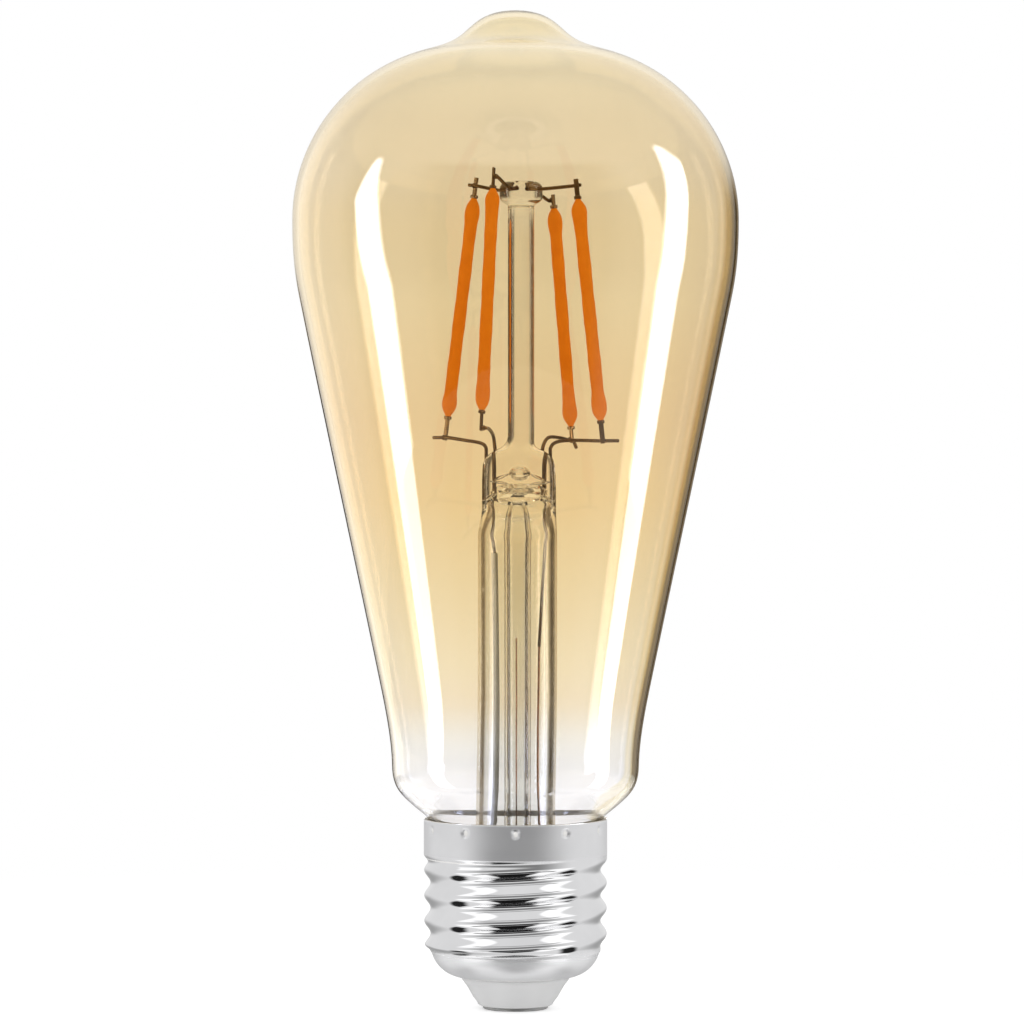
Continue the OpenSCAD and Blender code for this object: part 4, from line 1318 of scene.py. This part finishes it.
class Room:
    """The world's nodes: what a ray sees in each direction."""

    def __init__(self, tree: bpy.types.NodeTree) -> None:
        """Works out a ray's turn from the camera's side, in degrees, and its height."""
        self.tree = tree
        place = tree.nodes.new("ShaderNodeTexCoord")
        split = tree.nodes.new("ShaderNodeSeparateXYZ")
        tree.links.new(place.outputs["Generated"], split.inputs[0])
        self.height = split.outputs["Z"]
        front = self.work("MULTIPLY", split.outputs["Y"], -1.0)
        self.turn = self.work("MULTIPLY", self.work("ARCTAN2", split.outputs["X"], front), 180.0 / math.pi)
        self.above = self.work("MAXIMUM", self.height, 0.0)
        self.below = self.work("MINIMUM", self.height, 0.0)

    def work(self, operation: str, a: bpy.types.NodeSocket | float, b: bpy.types.NodeSocket | float,
             c: bpy.types.NodeSocket | float = 0.0) -> bpy.types.NodeSocket:
        """The result of one arithmetic step on two or three values."""
        node = self.tree.nodes.new("ShaderNodeMath")
        node.operation = operation
        for socket, value in zip(node.inputs, (a, b, c)):
            if isinstance(value, bpy.types.NodeSocket):
                self.tree.links.new(value, socket)
            else:
                socket.default_value = value
        return node.outputs[0]

    def rising(self, source: bpy.types.NodeSocket, middle: float, soft: float) -> bpy.types.NodeSocket:
        """A soft step from 0 to 1 where source passes middle."""
        span = self.tree.nodes.new("ShaderNodeMapRange")
        span.interpolation_type = "SMOOTHSTEP"
        span.inputs["From Min"].default_value = middle - soft
        span.inputs["From Max"].default_value = middle + soft
        self.tree.links.new(source, span.inputs["Value"])
        return span.outputs[0]

    def mask(self, patch: Patch) -> bpy.types.NodeSocket:
        """How far a direction lies inside a patch, from 0 to 1."""
        lean = self.work("MULTIPLY", self.below, patch.lean[1])
        lean = self.work("MULTIPLY_ADD", self.above, patch.lean[0], lean)
        turn = self.work("SUBTRACT", self.turn, lean)
        offset = self.work("SUBTRACT", turn, (patch.left + patch.right) / 2)
        top = self.work("SUBTRACT", self.height, self.work("MULTIPLY", offset, patch.slant))
        across = self.work("SUBTRACT", self.rising(turn, patch.left, patch.soft),
                           self.rising(turn, patch.right, patch.soft))
        up = self.work("SUBTRACT", self.rising(self.height, patch.low, patch.soft_height),
                       self.rising(top, patch.high, patch.soft_height))
        up = self.work("SUBTRACT", up, self.rising(self.height, patch.cut, patch.soft_height))
        return self.work("MULTIPLY", across, self.work("MAXIMUM", up, 0.0))

    def paint(self, level: float, patches: tuple[Patch, ...]) -> bpy.types.NodeSocket:
        """The brightness of an even room with patches hung over one another."""
        bright: bpy.types.NodeSocket | float = level
        for patch in patches:
            bright = self.mix(self.mask(patch), bright, patch.level)
        return bright

    def mix(self, share: bpy.types.NodeSocket, first: bpy.types.NodeSocket | float,
            second: bpy.types.NodeSocket | float) -> bpy.types.NodeSocket:
        """A value that goes from first to second as share goes from 0 to 1."""
        rest = self.work("MULTIPLY", self.work("SUBTRACT", 1.0, share), first)
        return self.work("MULTIPLY_ADD", share, second, rest)

    def lamps(self, patches: tuple[Patch, ...]) -> bpy.types.NodeSocket:
        """How far a direction lies inside any of the bright patches, from 0 to 1."""
        share: bpy.types.NodeSocket | float = 0.0
        for patch in patches:
            if patch.level > LAMP_LEVEL:
                share = self.work("ADD", share, self.mask(patch))
        return self.work("MINIMUM", share, 1.0)

    def light(self, level: float, backdrop: float, second: float, second_tint: Colour, wall: Colour,
              shade: Colour) -> None:
        """Joins it all to the world: reflections see the room, inner glass shows walls, the rest is plain.

        Args:
            level: brightness of the room's walls.
            backdrop: brightness of the plain backdrop.
            second: share of a lamp's light that is left in a reflection inside the bulb.
            second_tint: colour of the lamps in such a reflection.
            wall: colour of the room's walls.
            shade: colour of the room's dark parts.
        """
        path = self.tree.nodes.new("ShaderNodeLightPath")
        crossed = path.outputs["Transmission Depth"]
        mirrored = self.work("MINIMUM", path.outputs["Glossy Depth"], 1.0)
        scattered = self.work("MINIMUM", path.outputs["Diffuse Depth"], 1.0)
        screened = self.work("MINIMUM", path.outputs["Transparent Depth"], 1.0)
        on_glass = self.work("SUBTRACT", mirrored, screened)
        walls = self.paint(backdrop, BEHIND)
        deep = self.beyond(crossed, OUTER_WALLS)
        seen = self.work("MULTIPLY", deep, self.work("SUBTRACT", 1.0, scattered))
        plain = self.mix(seen, backdrop, walls)
        lamps = self.lamps(ROOM)
        room = self.paint(level, ROOM)
        inside = self.mix(lamps, walls, self.work("MULTIPLY", room, second))
        room = self.mix(self.beyond(crossed, OUTER_WALLS / 2), room, inside)
        lit = self.work("MINIMUM", self.work("MULTIPLY", room, 1.0 / DARK_LEVEL), 1.0)
        dim = self.work("MULTIPLY", self.work("SUBTRACT", 1.0, lit), on_glass)
        room = self.mix(screened, room, self.paint(level, CAP_ROOM))
        bare = self.work("MULTIPLY", on_glass, self.work("SUBTRACT", 1.0, lamps))
        again = self.work("MULTIPLY", lamps, self.work("MULTIPLY", self.beyond(crossed, 0.0), mirrored))
        tint = self.blend(dim, self.blend(bare, WHITE, wall), shade)
        tint = self.blend(1.0, self.blend(again, WHITE, second_tint), tint, "MULTIPLY")
        back = next(n for n in self.tree.nodes if n.type == "BACKGROUND")
        self.tree.links.new(tint, back.inputs["Color"])
        self.tree.links.new(self.mix(mirrored, plain, room), back.inputs["Strength"])

    def beyond(self, count: bpy.types.NodeSocket, limit: float) -> bpy.types.NodeSocket:
        """Whether a count is past a limit: 1 if it is, else 0."""
        return self.work("MINIMUM", self.work("MAXIMUM", self.work("SUBTRACT", count, limit), 0.0), 1.0)

    def blend(self, share: bpy.types.NodeSocket | float, first: Colour | bpy.types.NodeSocket,
              second: Colour | bpy.types.NodeSocket, kind: str = "MIX") -> bpy.types.NodeSocket:
        """A colour that goes from first to second, or is multiplied by second, as share goes from 0 to 1."""
        node = self.tree.nodes.new("ShaderNodeMix")
        node.data_type = "RGBA"
        node.blend_type = kind
        for slot, colour in ((node.inputs[6], first), (node.inputs[7], second)):
            if isinstance(colour, bpy.types.NodeSocket):
                self.tree.links.new(colour, slot)
            else:
                slot.default_value = (*colour, 1.0)
        if isinstance(share, bpy.types.NodeSocket):
            self.tree.links.new(share, node.inputs[0])
        else:
            node.inputs[0].default_value = share
        return node.outputs[2]


@dataclass
class Studio:
    """Pale floor, soft lights and camera."""

    centre: Point = (-0.5, 0.0, 71.2)
    distance: float = 600.0
    lens: float = 147.0
    floor_radius: float = 260.0
    floor_fade: tuple[float, float] = (60.0, 240.0)
    floor_glow: float = 0.4
    backdrop: float = 1.0
    room_level: float = 0.85
    second: float = 0.42
    second_tint: Colour = (0.9, 0.98, 1.3)
    wall: Colour = (1.0, 0.95, 0.86)
    shade: Colour = (1.0, 0.66, 0.3)
    screen_radius: float = 24.0
    screen_hole: float = 13.3
    screen_low: float = -1.0
    screen_top: float = 27.3

    def camera(self) -> None:
        """Sets the camera straight in front, at half the bulb's height."""
        data = bpy.data.cameras.new("camera")
        data.lens = self.lens
        data.sensor_width = 36.0
        data.clip_start = 0.01
        data.dof.use_dof = False
        obj = bpy.data.objects.new("camera", data)
        obj.location = (self.centre[0] * MM, -self.distance * MM, self.centre[2] * MM)
        obj.rotation_euler = (math.radians(90.0), 0.0, 0.0)
        bpy.context.scene.collection.objects.link(obj)
        bpy.context.scene.camera = obj

    def floor(self) -> None:
        """Lays a pale floor that fades into the backdrop."""
        piece = Workpiece("floor")
        bmesh.ops.create_circle(piece.mesh, cap_ends=True, radius=self.floor_radius, segments=96)
        g = Graph("floor")
        g.set(Base_Color=(0.86, 0.86, 0.86), Roughness=0.9, Specular_IOR_Level=0.0,
              Emission_Color=WHITE, Emission_Strength=self.floor_glow)
        length = g.node("ShaderNodeVectorMath", operation="LENGTH")
        g.join(g.place(), length.inputs[0])
        fade = g.step(length.outputs["Value"], self.floor_fade)
        fade.node.interpolation_type = "SMOOTHSTEP"
        clear = g.node("ShaderNodeBsdfTransparent")
        mix = g.node("ShaderNodeMixShader")
        g.join(fade, mix.inputs[0])
        g.join(g.shader.outputs[0], mix.inputs[1])
        g.join(clear.outputs[0], mix.inputs[2])
        g.join(mix.outputs[0], g.output.inputs["Surface"])
        piece.place_on_stage(g.material).visible_glossy = False

    def world(self) -> None:
        """White backdrop, and the soft lights and dark corners of the room that only reflections see."""
        world = bpy.data.worlds.new("studio")
        world.use_nodes = True
        world.cycles.sampling_method = "NONE"
        bpy.context.scene.world = world
        Room(world.node_tree).light(self.room_level, self.backdrop, self.second, self.second_tint, self.wall,
                                    self.shade)

    def screen(self) -> None:
        """Puts a clear screen round the cap, which tells its reflections from those of the glass."""
        piece = Workpiece("cap_screen")
        radius, low, top = self.screen_radius, self.screen_low, self.screen_top
        piece.turn([(0.0, low), (radius, low), (radius, top), (self.screen_hole, top)], 48)
        clear = bpy.data.materials.new("clear_screen")
        clear.use_nodes = True
        nodes = clear.node_tree.nodes
        out = next(n for n in nodes if n.type == "OUTPUT_MATERIAL")
        clear.node_tree.links.new(nodes.new("ShaderNodeBsdfTransparent").outputs[0], out.inputs["Surface"])
        obj = piece.place_on_stage(clear)
        obj.visible_camera = False
        obj.visible_diffuse = False
        obj.visible_transmission = False
        obj.visible_shadow = False

    def build(self) -> None:
        """Sets up the whole studio."""
        self.camera()
        self.world()
        self.floor()
        self.screen()
        scene = bpy.context.scene
        scene.view_settings.view_transform = "Standard"
        scene.view_settings.look = "None"
        scene.cycles.max_bounces = 24
        scene.cycles.transmission_bounces = 20
        scene.cycles.glossy_bounces = 12
        scene.cycles.transparent_max_bounces = 24
        scene.cycles.sample_clamp_indirect = 12.0


# ---------------------------------------------------------------------------
# The whole bulb
# ---------------------------------------------------------------------------


def dress_frame(frame: dict, paints: Paints) -> None:
    """Gives every node of the frame the finish of its material slot.

    Args:
        paints: the materials.
    """
    special = {"amber_glass": paints.amber, "clear_glass": paints.clear, "nickel_plated_shell": paints.shell}
    slots = {part["node"]: part["material_slot"] for part in frame["record"]["subparts"]}
    for node, obj in frame["nodes"].items():
        name = slots[node]
        material = special.get(name) or paints[name]
        obj.data.materials.clear()
        obj.data.materials.append(material)


def main() -> None:
    """Builds the bulb, its finishes and the studio."""
    logging.basicConfig(level=logging.INFO, format="%(message)s")
    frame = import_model()
    paints = Paints()
    dress_frame(frame, paints)
    Studio().build()
    Envelope().build(paints)
    Stem().build(paints)
    ExhaustTube().build(paints)
    for filament in filaments():
        filament.build(paints)
    LeadIns().build(paints)
    ScrewCap().build(paints)


if __name__ == "__main__":
    main()
